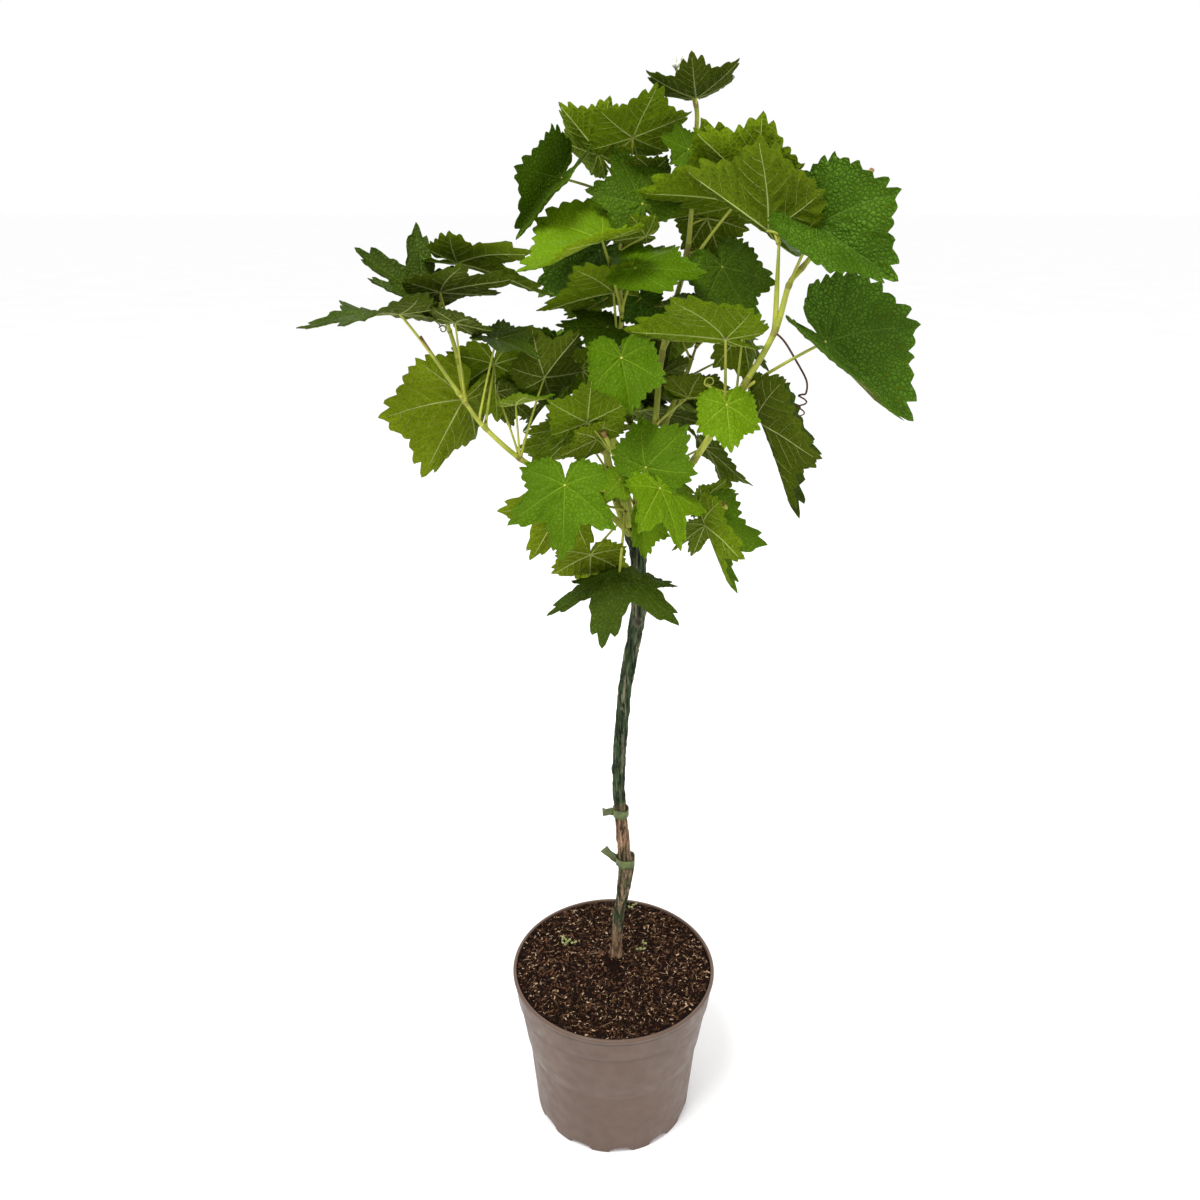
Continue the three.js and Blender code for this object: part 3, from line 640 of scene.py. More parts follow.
def nodes_of(shoot):
    """The points that a shoot's nodes stand at, from its foot up."""
    if "on" in shoot:
        start = point_on(shoot_named(shoot["on"][0]), shoot["on"][1])
    else:
        start = np.array(shoot["start"], float)
    nodes = [start]
    for bearing, rise, length in shoot["internodes"]:
        nodes.append(nodes[-1] + way(bearing, rise) * length)
    return nodes


def point_on(shoot, node):
    """The place at a node, or part of the way from one node to the next, of a shoot's straight course."""
    nodes = nodes_of(shoot)
    below = min(int(node), len(nodes) - 2)
    return nodes[below] + (nodes[below + 1] - nodes[below]) * (node - below)


def smooth_path(points, steps):
    """A smooth curve through the points, with that many steps between each two."""
    points = [np.asarray(p, float) for p in points]
    ends = [2 * points[0] - points[1], *points, 2 * points[-1] - points[-2]]
    path = []
    for a, b, c, d in zip(ends, ends[1:], ends[2:], ends[3:]):
        for k in range(steps):
            t = k / steps
            bend = (2 * a - 5 * b + 4 * c - d) * t * t + (3 * b - a - 3 * c + d) * t * t * t
            path.append(0.5 * (2 * b + (c - a) * t + bend))
    path.append(points[-1])
    return np.array(path)


# ---------------------------------------------------------------- meshes from arrays


class Pile:
    """Small things gathered into one mesh: their corners, faces, materials and creased rims."""

    def __init__(self):
        self.corners, self.faces, self.looks, self.rims = [], [], [], []
        self.count = self.last = 0

    def add(self, corners, faces, look, rims=None):
        """Adds corners in millimetres, and faces over them."""
        corners = np.asarray(corners, float)
        self.corners.append(corners * MM)
        self.rims.append(np.zeros(len(corners), int) if rims is None else rims)
        self.last = self.count
        self.count += len(corners)
        self.cover(faces, look)

    def cover(self, faces, look):
        """Adds faces of three or four of the corners added last, with the number of their material."""
        faces = np.asarray(faces, int)
        self.faces.append(faces + self.last)
        self.looks.append(np.broadcast_to(look, len(faces)))

    def piece(self, name, materials):
        """One object of all that was added."""
        mesh = bpy.data.meshes.new(name)
        corners = np.concatenate(self.corners)
        sizes = np.concatenate([np.full(len(f), f.shape[1]) for f in self.faces])
        loops = np.concatenate([f.ravel() for f in self.faces])
        mesh.vertices.add(len(corners))
        mesh.vertices.foreach_set("co", corners.ravel().astype(np.float32))
        mesh.loops.add(len(loops))
        mesh.loops.foreach_set("vertex_index", loops.astype(np.int32))
        mesh.polygons.add(len(sizes))
        mesh.polygons.foreach_set("loop_start", (np.cumsum(sizes) - sizes).astype(np.int32))
        mesh.polygons.foreach_set("material_index", np.concatenate(self.looks).astype(np.int32))
        mesh.polygons.foreach_set("use_smooth", np.ones(len(sizes), bool))
        for material in materials:
            mesh.materials.append(material)
        mesh.update(calc_edges=True)
        rims = np.concatenate(self.rims)
        pairs = np.zeros(len(mesh.edges) * 2, np.int32)
        mesh.edges.foreach_get("vertices", pairs)
        ends = rims[pairs.reshape(-1, 2)]
        creased = (ends[:, 0] == ends[:, 1]) & (ends[:, 0] > 0)
        crease = mesh.attributes.new("sharp_edge", "BOOLEAN", "EDGE")
        crease.data.foreach_set("value", creased)
        mesh.validate()
        return shown(name, mesh)


def shown(name, mesh):
    """A mesh as an object of the scene, at the origin."""
    thing = bpy.data.objects.new(name, mesh)
    bpy.context.scene.collection.objects.link(thing)
    return thing


def tube(path, radii, sides):
    """A closed round tube: its corners and its four-sided and three-sided faces."""
    path = np.asarray(path, float)
    radii = np.broadcast_to(radii, len(path))
    along = np.gradient(path, axis=0)
    along /= np.linalg.norm(along, axis=1)[:, None]
    side = np.array([1.0, 0.0, 0.0]) if abs(along[0][0]) < 0.9 else np.array([0.0, 1.0, 0.0])
    turns = np.arange(sides) * 2 * math.pi / sides
    rings = []
    for point, forward, radius in zip(path, along, radii):
        side = side - forward * side.dot(forward)
        side /= np.linalg.norm(side)
        across = np.cross(forward, side)
        rings.append(point + radius * (np.cos(turns)[:, None] * side + np.sin(turns)[:, None] * across))
    corners = np.concatenate([*rings, path[:1], path[-1:]])
    k = np.arange(sides)
    after = (k + 1) % sides
    wall = np.stack([k, after, after + sides, k + sides], 1)
    walls = np.concatenate([wall + ring * sides for ring in range(len(path) - 1)])
    last = (len(path) - 1) * sides
    foot, top = np.full(sides, last + sides), np.full(sides, last + sides + 1)
    caps = np.concatenate([np.stack([foot, after, k], 1), np.stack([top, last + k, last + after], 1)])
    return corners, walls, caps


def add_tube(pile, path, radii, sides, look):
    """A closed round tube of one material."""
    corners, walls, caps = tube(path, radii, sides)
    pile.add(corners, walls, look)
    pile.cover(caps, look)


# ---------------------------------------------------------------- the frame of a leaf


def leaf_from(shoot, row):
    """A leaf with its root on the shoot, its heart where the stalk ends, and its blade's three directions."""
    node, stalk, tip, roll, size, fold, bend, twist, lobes, tone = row
    root = point_on(shoot, node)
    along = way(*tip)
    up = way(tip[0], tip[1] + 90)
    across = np.cross(along, up)
    turn = math.radians(roll)
    normal = up * math.cos(turn) + across * math.sin(turn)
    return {
        "shoot": shoot,
        "node": node,
        "root": root,
        "heart": root + way(*stalk[:2]) * stalk[2],
        "along": along,
        "normal": normal,
        "side": np.cross(along, normal),
        "size": size,
        "fold": fold,
        "bend": bend,
        "twist": twist,
        "lobes": lobes,
        "tone": tone,
    }


def bent(leaf, u, v, lift=0.0):
    """Points at u sizes along the midrib and v to its right, raised by lift: folded, twisted, then bent."""
    fold = np.radians(np.where(v > 0, leaf["fold"][1], leaf["fold"][0]))
    away = np.abs(v)
    eased = FOLD_ROUND * (1 - np.exp(-away / FOLD_ROUND))
    out = np.sign(v) * (away * np.cos(fold) + (1 - np.cos(fold)) * eased)
    rise = np.sin(fold) * (away - eased) + lift
    twist = math.radians(leaf["twist"]) * u
    across = out * np.cos(twist) - rise * np.sin(twist)
    rise = out * np.sin(twist) + rise * np.cos(twist)
    curve = math.radians(leaf["bend"]) or 1e-6
    turn = curve * u
    reach = np.sin(turn) / curve + rise * np.sin(turn)
    height = (np.cos(turn) - 1) / curve + rise * np.cos(turn)
    reach, across, height = reach[..., None], across[..., None], height[..., None]
    shape = reach * leaf["along"] + across * leaf["side"] + height * leaf["normal"]
    return leaf["heart"] + leaf["size"] * shape


def grown_rows(shoot):
    """Leaves by the seeded rule: two at a node, on alternate sides, and one more at the shoot's end."""
    draw = seeded(shoot["grown"])
    rows = []
    sideways = 1
    count = len(shoot["internodes"])
    for node in range(1, count + 1):
        bearing = shoot["internodes"][node - 1][0]
        for place in range(2 if node < count else 3):
            sideways = -sideways
            off = bearing + sideways * draw(35, 75) if place < 2 else bearing + draw(-15, 15)
            at = node - 0.45 if place == 1 else node
            stalk = (off, draw(15, 55), draw(26, 48))
            tip = (off + draw(-25, 25), draw(-50, -15))
            roll = draw(-25, 25)
            size = draw(36, 54)
            fold = (draw(0, 15), draw(0, 15))
            bend = draw(0, 25)
            lobes = draw(0, 0.5)
            tone = GROWN_TONES[len(rows) % len(GROWN_TONES)]
            rows.append((at, stalk, tip, roll, size, fold, bend, 0, lobes, tone))
    return rows


def fits(leaf, shoot):
    """A grown leaf is kept when its tip is inside the crown and its heart is clear of the other shoots."""
    tip = bent(leaf, np.array(1.0), np.array(0.0))
    if np.linalg.norm((tip - CROWN_MIDDLE) / CROWN_REACH) > 1:
        return False
    for other in SHOOTS:
        nodes = nodes_of(other)
        for a, b in zip(nodes, nodes[1:]):
            share = min(1, max(0, (leaf["heart"] - a).dot(b - a) / (b - a).dot(b - a)))
            if other is not shoot and np.linalg.norm(a + share * (b - a) - leaf["heart"]) <= NODE_ROOM:
                return False
    return True


def leaves_of(shoot):
    """The shoot's leaves: those of its table, and those that the rule grows and that fit."""
    leaves = [leaf_from(shoot, row) for row in shoot["leaves"]]
    if "grown" in shoot:
        grown = [leaf_from(shoot, row) for row in grown_rows(shoot)]
        leaves += [leaf for leaf in grown if fits(leaf, shoot)]
    return leaves


# ---------------------------------------------------------------- blades

FOLD_ROUND = 0.07  # how gently the halves fold at the midrib, in sizes
LOBE_TIPS = (0, 52, 108, 176)  # angles from the blade's tip, as all angles in a blade are
TEETH = (5, 5, 7)  # teeth on each stretch between lobe tips, on each half
TOOTH_SIZES = (0.55, 1.4)  # the smallest and largest tooth, as parts of TOOTH_HEIGHT
LOBE_TOOTH = 2.0  # the tooth that ends a lobe
RINGS = 12  # rings of points from the heart to the margin
BLADE_THICK = 0.5
# The tooth's height over the outline, from one tooth's point to the next.
TOOTH_SHAPE = ((0.0, 1.0), (0.2, 0.5), (0.5, -1.0), (0.8, 0.4))
TOOTH_HEIGHT = 0.036
MAIN_VEINS = (0, 52, -52, 108, -108, 150, -150)
SECTOR_ENDS = (26, 80, 129, 172)  # half-way between each main vein and the next
BRANCHES = {
    # a main vein's angle, and how far along it its pairs of side veins leave
    0: (0.16, 0.33, 0.5, 0.66, 0.81),
    52: (0.24, 0.43, 0.61, 0.78),
    108: (0.3, 0.52, 0.74),
    150: (0.45, 0.72),
}
BRANCH_ANGLE = 54
BRANCH_CURVE = 0.9  # how far a side vein turns forward at each step, in degrees
BRANCH_STEP = 0.02  # how long each step of a side vein is, in sizes
BRANCH_STEPS = 40
BRANCH_OFFSET = 0.04  # how far apart the two side veins of a pair leave, on either side of its place
VEIN_POINTS = 8
VEIN_BOW = 7  # how much wider than its angle a main vein sets out, in degrees
VEIN_REACH = 0.93  # how much of the way to the margin a vein runs
# A vein's half-width at foot and tip, and its height, in millimetres.
MAIN_VEIN = (0.9, 0.26, 0.5)
SIDE_VEIN = (0.34, 0.14, 0.26)
LESSER_VEIN = 0.8  # how strong the main veins behind the first three are
VEIN_SINK = 0.12  # how deep a vein's edges sit in the blade, in millimetres
UPPER_VEIN = 0.35  # how high a vein stands on the upper face, as a part of its height below
OUTLINE_EASE = 0.1  # how much the outline's corners are rounded
PUCKER = 0.055  # how far the blade swells between its veins, in sizes
VEIN_VALLEY = 0.065  # how wide the valley along a vein is, in sizes
RUFFLES = (0.025, 0.07)  # the least and most that a margin waves, in sizes
DROOPS = (0.02, 0.13)  # the least and most that a margin hangs, in sizes
RUFFLE_WAVES = (5, 9)  # waves round the blade, of the broad ruffle and of the fine one
PHASES = 6.28  # about a full turn, over which the waves of the margins start


def outline(angles, lobes):
    """The blade's radius at each angle, with its lobes and the bays between them rounded."""
    places = np.interp(np.abs(angles), OUTLINE_ANGLES, np.arange(len(OUTLINE_ANGLES)))
    places = places - OUTLINE_EASE * np.sin(2 * math.pi * places)
    radii = np.array(SHALLOW_RADII) * (1 - lobes) + np.array(DEEP_RADII) * lobes
    return np.interp(places, np.arange(len(radii)), radii)


def toothed_half(draw):
    """Angles from the tip round to the notch, and how far the margin stands out at each."""
    angles, heights = [], []
    for start, end, count in zip(LOBE_TIPS, LOBE_TIPS[1:], TEETH):
        width = (end - start) / count
        for tooth in range(count):
            bold = LOBE_TOOTH if tooth == 0 else draw(*TOOTH_SIZES)
            for share, height in TOOTH_SHAPE:
                angles.append(start + (tooth + share + draw(-0.05, 0.05) * (tooth > 0)) * width)
                heights.append(height * bold * TOOTH_HEIGHT)
    return angles, heights


def vein_paths(lobes):
    """Each vein: its points in the blade's plane, its two half-widths, its height, and if it is a branch."""
    veins = []
    foot_half, tip_half, height = MAIN_VEIN
    for main in MAIN_VEINS:
        reach = VEIN_REACH * float(outline(np.array(main), lobes))
        steps = np.linspace(0, 1, VEIN_POINTS)[:, None]
        strong = 1.0 if main in MAIN_VEINS[:3] else LESSER_VEIN
        veins.append((along_main(main, reach, steps), foot_half * strong, tip_half, height * strong, False))
        for share in BRANCHES[abs(main)]:
            for hand in (1, -1):
                foot = along_main(main, reach, np.array([[share + BRANCH_OFFSET * hand]]))[0]
                branch = branch_from(foot, main, hand, lobes)
                if len(branch) > 4:
                    picked = np.linspace(0, len(branch) - 1, VEIN_POINTS).round().astype(int)
                    veins.append((branch[np.unique(picked)], *SIDE_VEIN, True))
    return veins


def along_main(main, reach, shares):
    """Points along a main vein, which leaves the heart a little wide and bows in towards its lobe's tip."""
    turns = np.radians(main + math.copysign(VEIN_BOW, main) * (1 - shares) * (main != 0))
    return shares * reach * np.concatenate([np.cos(turns), np.sin(turns)], axis=-1)


def branch_from(foot, main, hand, lobes):
    """A side vein that leaves a main one and curves forward to the margin or to its neighbour's side."""
    low = max((end for end in SECTOR_ENDS if end < abs(main)), default=-SECTOR_ENDS[0])
    high = min(end for end in SECTOR_ENDS if end > abs(main))
    at, points = foot.copy(), [foot.copy()]
    for step in range(BRANCH_STEPS):
        heading = math.radians(main + hand * (BRANCH_ANGLE - BRANCH_CURVE * step))
        at = at + BRANCH_STEP * np.array([math.cos(heading), math.sin(heading)])
        angle = math.degrees(math.atan2(at[1], at[0])) * (1 if main >= 0 else -1)
        if np.hypot(*at) > VEIN_REACH * outline(np.array(angle), lobes) or not low < angle < high:
            break
        points.append(at.copy())
    return np.array(points)


def distance_to(points, veins):
    """How far each point of the blade's plane lies from the nearest vein."""
    nearest = np.full(points.shape[:-1], 9.0)
    for path, *_ in veins:
        for a, b in zip(path, path[1:]):
            along = b - a
            share = np.clip(((points - a) @ along) / max(along @ along, 1e-9), 0, 1)
            nearest = np.minimum(nearest, np.linalg.norm(points - a - share[..., None] * along, axis=-1))
    return nearest


def blade_grid(leaf, draw):
    """The blade's middle surface as rings of points round the heart, its normals, and its angles."""
    right, right_heights = toothed_half(draw)
    left, left_heights = toothed_half(draw)
    angles = np.array([-a for a in left[:0:-1]] + right + [180.0])
    teeth = np.array(left_heights[:0:-1] + right_heights + [0.0])
    radii = outline(angles, leaf["lobes"])
    shares = np.linspace(0, 1, RINGS + 1)
    spread = shares[:, None] * radii * (1 + teeth * shares[:, None] ** 5)
    turns = np.radians(angles)
    flat = np.stack([spread * np.cos(turns), spread * np.sin(turns)], -1)
    veins = vein_paths(leaf["lobes"])
    swell = PUCKER * (1 - np.exp(-((distance_to(flat, veins) / VEIN_VALLEY) ** 2)))
    far = spread**2
    wave, phase = draw(*RUFFLES), draw(0, PHASES)
    broad, fine = RUFFLE_WAVES
    ruffle = wave * far * np.sin(broad * turns + phase) + 0.5 * wave * far * np.sin(fine * turns + 2 * phase)
    droop = -draw(*DROOPS) * far
    points = bent(leaf, flat[..., 0], flat[..., 1], swell + ruffle + droop)
    over = np.roll(points, -1, axis=1) - np.roll(points, 1, axis=1)
    outward = np.gradient(points, axis=0)
    normals = np.cross(over, outward)
    normals[0] = normals[1].mean(axis=0)
    normals /= np.linalg.norm(normals, axis=-1)[..., None] + 1e-12
    return {"points": points, "normals": normals, "angles": angles, "radii": radii, "veins": veins}


def looked_up(grid, rings, places):
    """The grid's values between its points, at a ring and a place round it."""
    ring = np.clip(rings.astype(int), 0, len(grid) - 2)
    place = np.clip(places.astype(int), 0, grid.shape[1] - 2)
    a, b = (rings - ring)[..., None], (places - place)[..., None]
    near = grid[ring, place] * (1 - b) + grid[ring, place + 1] * b
    far = grid[ring + 1, place] * (1 - b) + grid[ring + 1, place + 1] * b
    return near * (1 - a) + far * a


def add_vein(pile, grid, size, vein, face, look):
    """A raised rib along a vein, on the blade's upper face (1) or its underside (-1)."""
    path, foot_half, tip_half, height, _ = vein
    angles = grid["angles"]
    forward = np.gradient(path, axis=0)
    forward /= np.linalg.norm(forward, axis=1)[:, None] + 1e-9
    across = np.stack([-forward[:, 1], forward[:, 0]], 1)
    half = np.linspace(foot_half, tip_half, len(path))[:, None] / size
    rows = []
    crest = height if face < 0 else UPPER_VEIN * height
    for shift, lift in ((-half, -VEIN_SINK), (0, crest), (half, -VEIN_SINK)):
        at = path + shift * across
        turns = np.degrees(np.arctan2(at[:, 1], at[:, 0]))
        radii = np.interp(turns, angles, grid["radii"])
        rings = np.clip(np.hypot(at[:, 0], at[:, 1]) / radii, 0, 1) * RINGS
        places = np.interp(turns, angles, np.arange(len(angles)))
        skin = looked_up(grid["points"], rings, places)
        rows.append(skin + face * (BLADE_THICK / 2 + lift) * looked_up(grid["normals"], rings, places))
    corners = np.stack(rows, 1).reshape(-1, 3)
    count = len(path)
    k = np.arange(count - 1) * 3
    walls = [np.stack([k + a, k + b, k + b + 3, k + a + 3], 1) for a, b in ((0, 1), (1, 2), (2, 0))]
    quads = np.concatenate(walls)
    ends = np.array([[0, 2, 1], [3 * count - 3, 3 * count - 2, 3 * count - 1]])
    if face < 0:
        quads, ends = quads[:, ::-1], ends[:, ::-1]
    pile.add(corners, quads, look)
    pile.cover(ends, look)


def add_blade(pile, leaf, draw, looks):
    """One leaf's blade: two skins that meet at a thin rim, with ribs along its veins."""
    grid = blade_grid(leaf, draw)
    points, normals = grid["points"], grid["normals"]
    upper, under, upper_vein, under_vein, upper_branch, under_branch = looks
    around = len(grid["angles"])
    j = np.arange(around)
    after = (j + 1) % around
    for face, look in ((1, upper), (-1, under)):
        skin = points + face * BLADE_THICK / 2 * normals
        corners = np.concatenate([skin[:1, 0], skin[1:].reshape(-1, 3)])
        quads = []
        for ring in range(RINGS - 1):
            a, b = 1 + ring * around, 1 + (ring + 1) * around
            quads.append(np.stack([a + j, a + after, b + after, b + j], 1))
        quads = np.concatenate(quads)
        middle = np.stack([np.zeros(around, int), 1 + after, 1 + j], 1)
        if face < 0:
            quads, middle = quads[:, ::-1], middle[:, ::-1]
        rims = np.zeros(len(corners), int)
        rims[-around:] = 1 if face > 0 else 2
        pile.add(corners, quads, look, rims)
        pile.cover(middle, look)
    low, high = 1 + (RINGS - 1) * around, -around
    pile.cover(np.stack([high + j, high + after, low + after, low + j], 1), upper)
    for vein in grid["veins"]:
        add_vein(pile, grid, leaf["size"], vein, 1, upper_branch if vein[-1] else upper_vein)
        add_vein(pile, grid, leaf["size"], vein, -1, under_branch if vein[-1] else under_vein)


# ---------------------------------------------------------------- shoots, stalks, buds and tendrils

LIMB_SIDES = 12
LIMB_STEPS = 10
FOOT_SWELL = 0.25  # how much wider a shoot is at its foot
NODE_SWELL = 0.24  # how much wider it is at a node
SWELL_REACH = 0.085  # how far from a node a swelling runs, in internodes, as NODE_BAND is
NODE_BAND = 0.06  # how far from a node its brownish band runs
FIRST_BAND = 0.3  # nearer to its foot than this a shoot has no band
TIP_TAPER = (0.6, 0.55)  # the last part of a growing shoot, in internodes, and how thick its end is
STALK_SIDES = 8
STALK_STEPS = 12
STALK_ARCH = 0.05  # how far a stalk bows up, as a part of its length
STALK_FULLNESS = 0.9  # how thick a stalk is against its foot radius, away from its swellings
STALK_FOOT_SWELL = (0.8, 0.06)  # how much a stalk swells at its foot, and over which part of its length
STALK_HEAD_SWELL = (0.35, 0.05)  # the same where it meets the blade
STALK_END = 0.8  # how far a stalk runs on into the blade, in millimetres
STALK_BY_SIZE = (0.45, 140)  # a stalk is as thick as the first plus its leaf's size over the second
CUT_SHOOTS = ("left", "front", "centre", "right")  # these end in a dry cut
CUT_ROWS = 3  # how many rows of faces are dry at a cut
BUD_RISE = np.array([0, 0, 1.2])
BUD_SIZE = 1.2
BUD_LENGTHS = np.array([-0.8, 0, 0.8, 1.6, 2.2])
BUD_WIDTHS = np.array([0.7, 1, 0.85, 0.5, 0.12])
BUD_SIDES = 7
BUD_SEAT = 1.1  # how far out from the shoot's middle a bud sits, in radii of the shoot
# The numbers of the materials of a mass's green parts, in the order in which make_vine gives them.
SHOOT, STALK, NODE, CUT, SCALE, YOUNG_TENDRIL, DRY_TENDRIL, DOWN = range(8)


def shoot_path(shoot):
    """A shoot's smooth course, and the radius at each of its points, swollen at the nodes."""
    nodes = nodes_of(shoot)
    path = smooth_path(nodes, LIMB_STEPS)
    places = np.arange(len(path)) / LIMB_STEPS
    radii = np.interp(places, (0, len(nodes) - 1), shoot["thick"])
    off = np.abs(places - places.round())
    swell = np.where(places < 0.5, FOOT_SWELL, NODE_SWELL)
    radii = radii * (1 + swell * np.exp(-((off / SWELL_REACH) ** 2)))
    return path, radii, places


def add_stem(pile, shoot, low, high):
    """The stretch of a shoot between two nodes: green with brownish nodes, and dry at a cut."""
    path, radii, places = shoot_path(shoot)
    kept = (places >= low - 1e-6) & (places <= high + 1e-6)
    path, radii, places = path[kept], radii[kept], places[kept]
    last = high == len(shoot["internodes"])
    if last and shoot["name"] not in CUT_SHOOTS:
        radii = radii * np.interp(places, (high - TIP_TAPER[0], high), (1, TIP_TAPER[1]))
    corners, walls, caps = tube(path, radii, LIMB_SIDES)
    ring = np.repeat(np.arange(len(path) - 1), LIMB_SIDES)
    middles = places[:-1] + 0.5 / LIMB_STEPS
    near = np.abs(middles - middles.round()) < NODE_BAND
    looks = np.where(near[ring] & (places[ring] > FIRST_BAND), NODE, SHOOT)
    if last and shoot["name"] in CUT_SHOOTS:
        looks = np.where(ring >= len(path) - CUT_ROWS, CUT, looks)
    pile.add(corners, walls, looks)
    pile.cover(caps, CUT if last else SHOOT)


def add_stalk(pile, leaf):
    """A leaf's stalk, from a swollen foot on its shoot to the heart of the blade, and the bud beside it."""
    path, radii, places = shoot_path(leaf["shoot"])
    root = np.array([np.interp(leaf["node"], places, path[:, axis]) for axis in range(3)])
    heart = leaf["heart"]
    run = np.linalg.norm(heart - root)
    t = np.linspace(0, 1, STALK_STEPS + 1)[:, None]
    middle = (root + heart) / 2 + np.array([0, 0, STALK_ARCH * run])
    course = (1 - t) ** 2 * root + 2 * t * (1 - t) * middle + t**2 * heart
    end = (course[-1] - course[-2]) / np.linalg.norm(course[-1] - course[-2])
    course = np.vstack([course, heart + STALK_END * end])
    along = np.linspace(0, 1, len(course))
    swell, reach = STALK_FOOT_SWELL
    thick = STALK_FOOT_RADIUS * (STALK_FULLNESS + swell * np.exp(-((along / reach) ** 2)))
    thick = np.interp(along, (0, 1), (1, STALK_TIP_RADIUS / STALK_FOOT_RADIUS)) * thick
    swell, reach = STALK_HEAD_SWELL
    thick = thick * (1 + swell * np.exp(-(((1 - along) / reach) ** 2)))
    thick = thick * (STALK_BY_SIZE[0] + leaf["size"] / STALK_BY_SIZE[1])
    add_tube(pile, course, thick, STALK_SIDES, STALK)
    forward = (course[3] - root) / np.linalg.norm(course[3] - root)
    seat = root + forward * radii[int(round(leaf["node"] * LIMB_STEPS))] * BUD_SEAT
    add_bud(pile, seat + BUD_RISE, forward + BUD_RISE)


def add_bud(pile, seat, direction):
    """A small pointed bud in the angle between a stalk and its shoot."""
    direction = direction / np.linalg.norm(direction)
    lengths = BUD_LENGTHS * BUD_SIZE
    add_tube(pile, seat + lengths[:, None] * direction, BUD_WIDTHS * BUD_SIZE, BUD_SIDES, SCALE)


TENDRIL_STEPS = 6
TENDRIL_SIDES = 6
COIL_STEPS = 8  # points on each turn of a coil
# Each tendril: the mass it grows in, its run, its radius at foot and tip, its material, and its coil.
# A coil starts at an angle round its axis, climbs along it, and shrinks to a part of its radius.
TENDRILS = (
    {
        "on": "left",
        "run": ((-127, -19, 761), (-138, -27, 766), (-136, -32, 759), (-129, -35, 755), (-124, -36, 751)),
        "thick": (0.6, 0.4),
        "look": YOUNG_TENDRIL,
        "coil": {
            "centre": (-122, -36, 748),
            "axis": (0, 1, 0),
            "radius": 2.6,
            "turns": 1.1,
            "start": 150,
            "shrink": 0.5,
            "climb": 1,
        },
    },
    {
        "on": "right",
        "run": ((106, -45, 748), (114, -46, 741), (123, -46, 728), (130, -46, 717), (132, -46, 711)),
        "thick": (0.75, 0.35),
        "look": DRY_TENDRIL,
        "coil": {
            "centre": (130, -46, 706),
            "axis": (-0.1, 0, -1),
            "radius": 3.2,
            "turns": 3.5,
            "start": 60,
            "shrink": 0.8,
            "climb": 27,
        },
    },
    {
        "on": "right",
        "run": ((128, -46, 681), (124, -45, 678), (119, -44, 676), (114, -43, 678)),
        "thick": (0.45, 0.3),
        "look": DRY_TENDRIL,
    },
    {
        "on": "right",
        "run": ((88, -41, 711), (80, -43, 706), (72, -44, 707), (66, -44, 709)),
        "thick": (0.7, 0.4),
        "look": STALK,
        "coil": {
            "centre": (64, -44, 713),
            "axis": (0, 1, 0),
            "radius": 3.6,
            "turns": 1.0,
            "start": 90,
            "shrink": 0.6,
            "climb": 2,
        },
    },
)


def add_tendril(pile, tendril):
    """A thin tendril: a free run, then a coil round an axis, tapering to its tip."""
    points = [np.array(point, float) for point in tendril["run"]]
    if "coil" in tendril:
        points += curl(**tendril["coil"])
    course = smooth_path(points, TENDRIL_STEPS)
    add_tube(pile, course, np.linspace(*tendril["thick"], len(course)), TENDRIL_SIDES, tendril["look"])


def curl(centre, axis, radius, turns, start, shrink, climb):
    """Points of a tendril's coil round an axis, tightening as it goes."""
    centre = np.array(centre, float)
    axis = np.array(axis, float) / np.linalg.norm(axis)
    first = np.cross(axis, [0.3, 1.0, 0.2])
    first /= np.linalg.norm(first)
    second = np.cross(axis, first)
    points = []
    for step in range(int(turns * COIL_STEPS) + 1):
        part = step / (turns * COIL_STEPS)
        angle = math.radians(start) + part * turns * 2 * math.pi
        size = radius * (1 - (1 - shrink) * part)
        spoke = math.cos(angle) * first + math.sin(angle) * second
        points.append(centre + climb * part * axis + size * spoke)
    return points


# ---------------------------------------------------------------- trunk

TRUNK_SIDES = 72
TRUNK_STEP = 1.3
TRUNK_BELOW = 5  # how deep the trunk stands in the soil
TRUNK_TOP = 600
TRUNK_EASE = 8  # how far on either side of a height its bends are rounded
FISSURE_DEPTH = 1.0
FLARE = 0.16  # how much wider the trunk is where it enters the soil
FLARE_REACH = 11
FLUTES = 5
KNOTS = (
    # height, bearing, radius and how far it stands out
    (272, 0, 9, 1.6),
    (300, 200, 6, 0.9),
    (372, 195, 7, 1.0),
    (430, 350, 6, 0.8),
    (486, 215, 6, 0.9),
    (513, 278, 5, 1.5),
    (548, 200, 6, 1.0),
    (566, 10, 7, 1.2),
    (584, 180, 8, 1.8),
    (590, 350, 8, 1.6),
    (594, 90, 8, 1.6),
    (594, 265, 7, 1.4),
)


def trunk_at(height):
    """The middle and the radius of the trunk at a height."""
    rows = np.array(TRUNK)
    return np.array([np.interp(height, rows[:, 2], rows[:, k]) for k in (0, 1, 3)])


def smooth_trunk(heights):
    """Middles and radii at many heights, with the bends between the table's rows rounded."""
    levels = np.arange(120, 606, 1.0)
    exact = np.array([trunk_at(level) for level in levels])
    window = np.hanning(2 * TRUNK_EASE + 1)
    window /= window.sum()
    padded = np.pad(exact, ((TRUNK_EASE, TRUNK_EASE), (0, 0)), mode="edge")
    eased = np.stack([np.convolve(padded[:, k], window, mode="valid") for k in range(3)], 1)
    return np.stack([np.interp(heights, levels, eased[:, k]) for k in range(3)], 1)


def bark_waves(point, height, across, along):
    """Noise with that many waves a millimetre across the trunk and along it."""
    return noise.noise(Vector((point[0] * across, point[1] * across, height * along)))


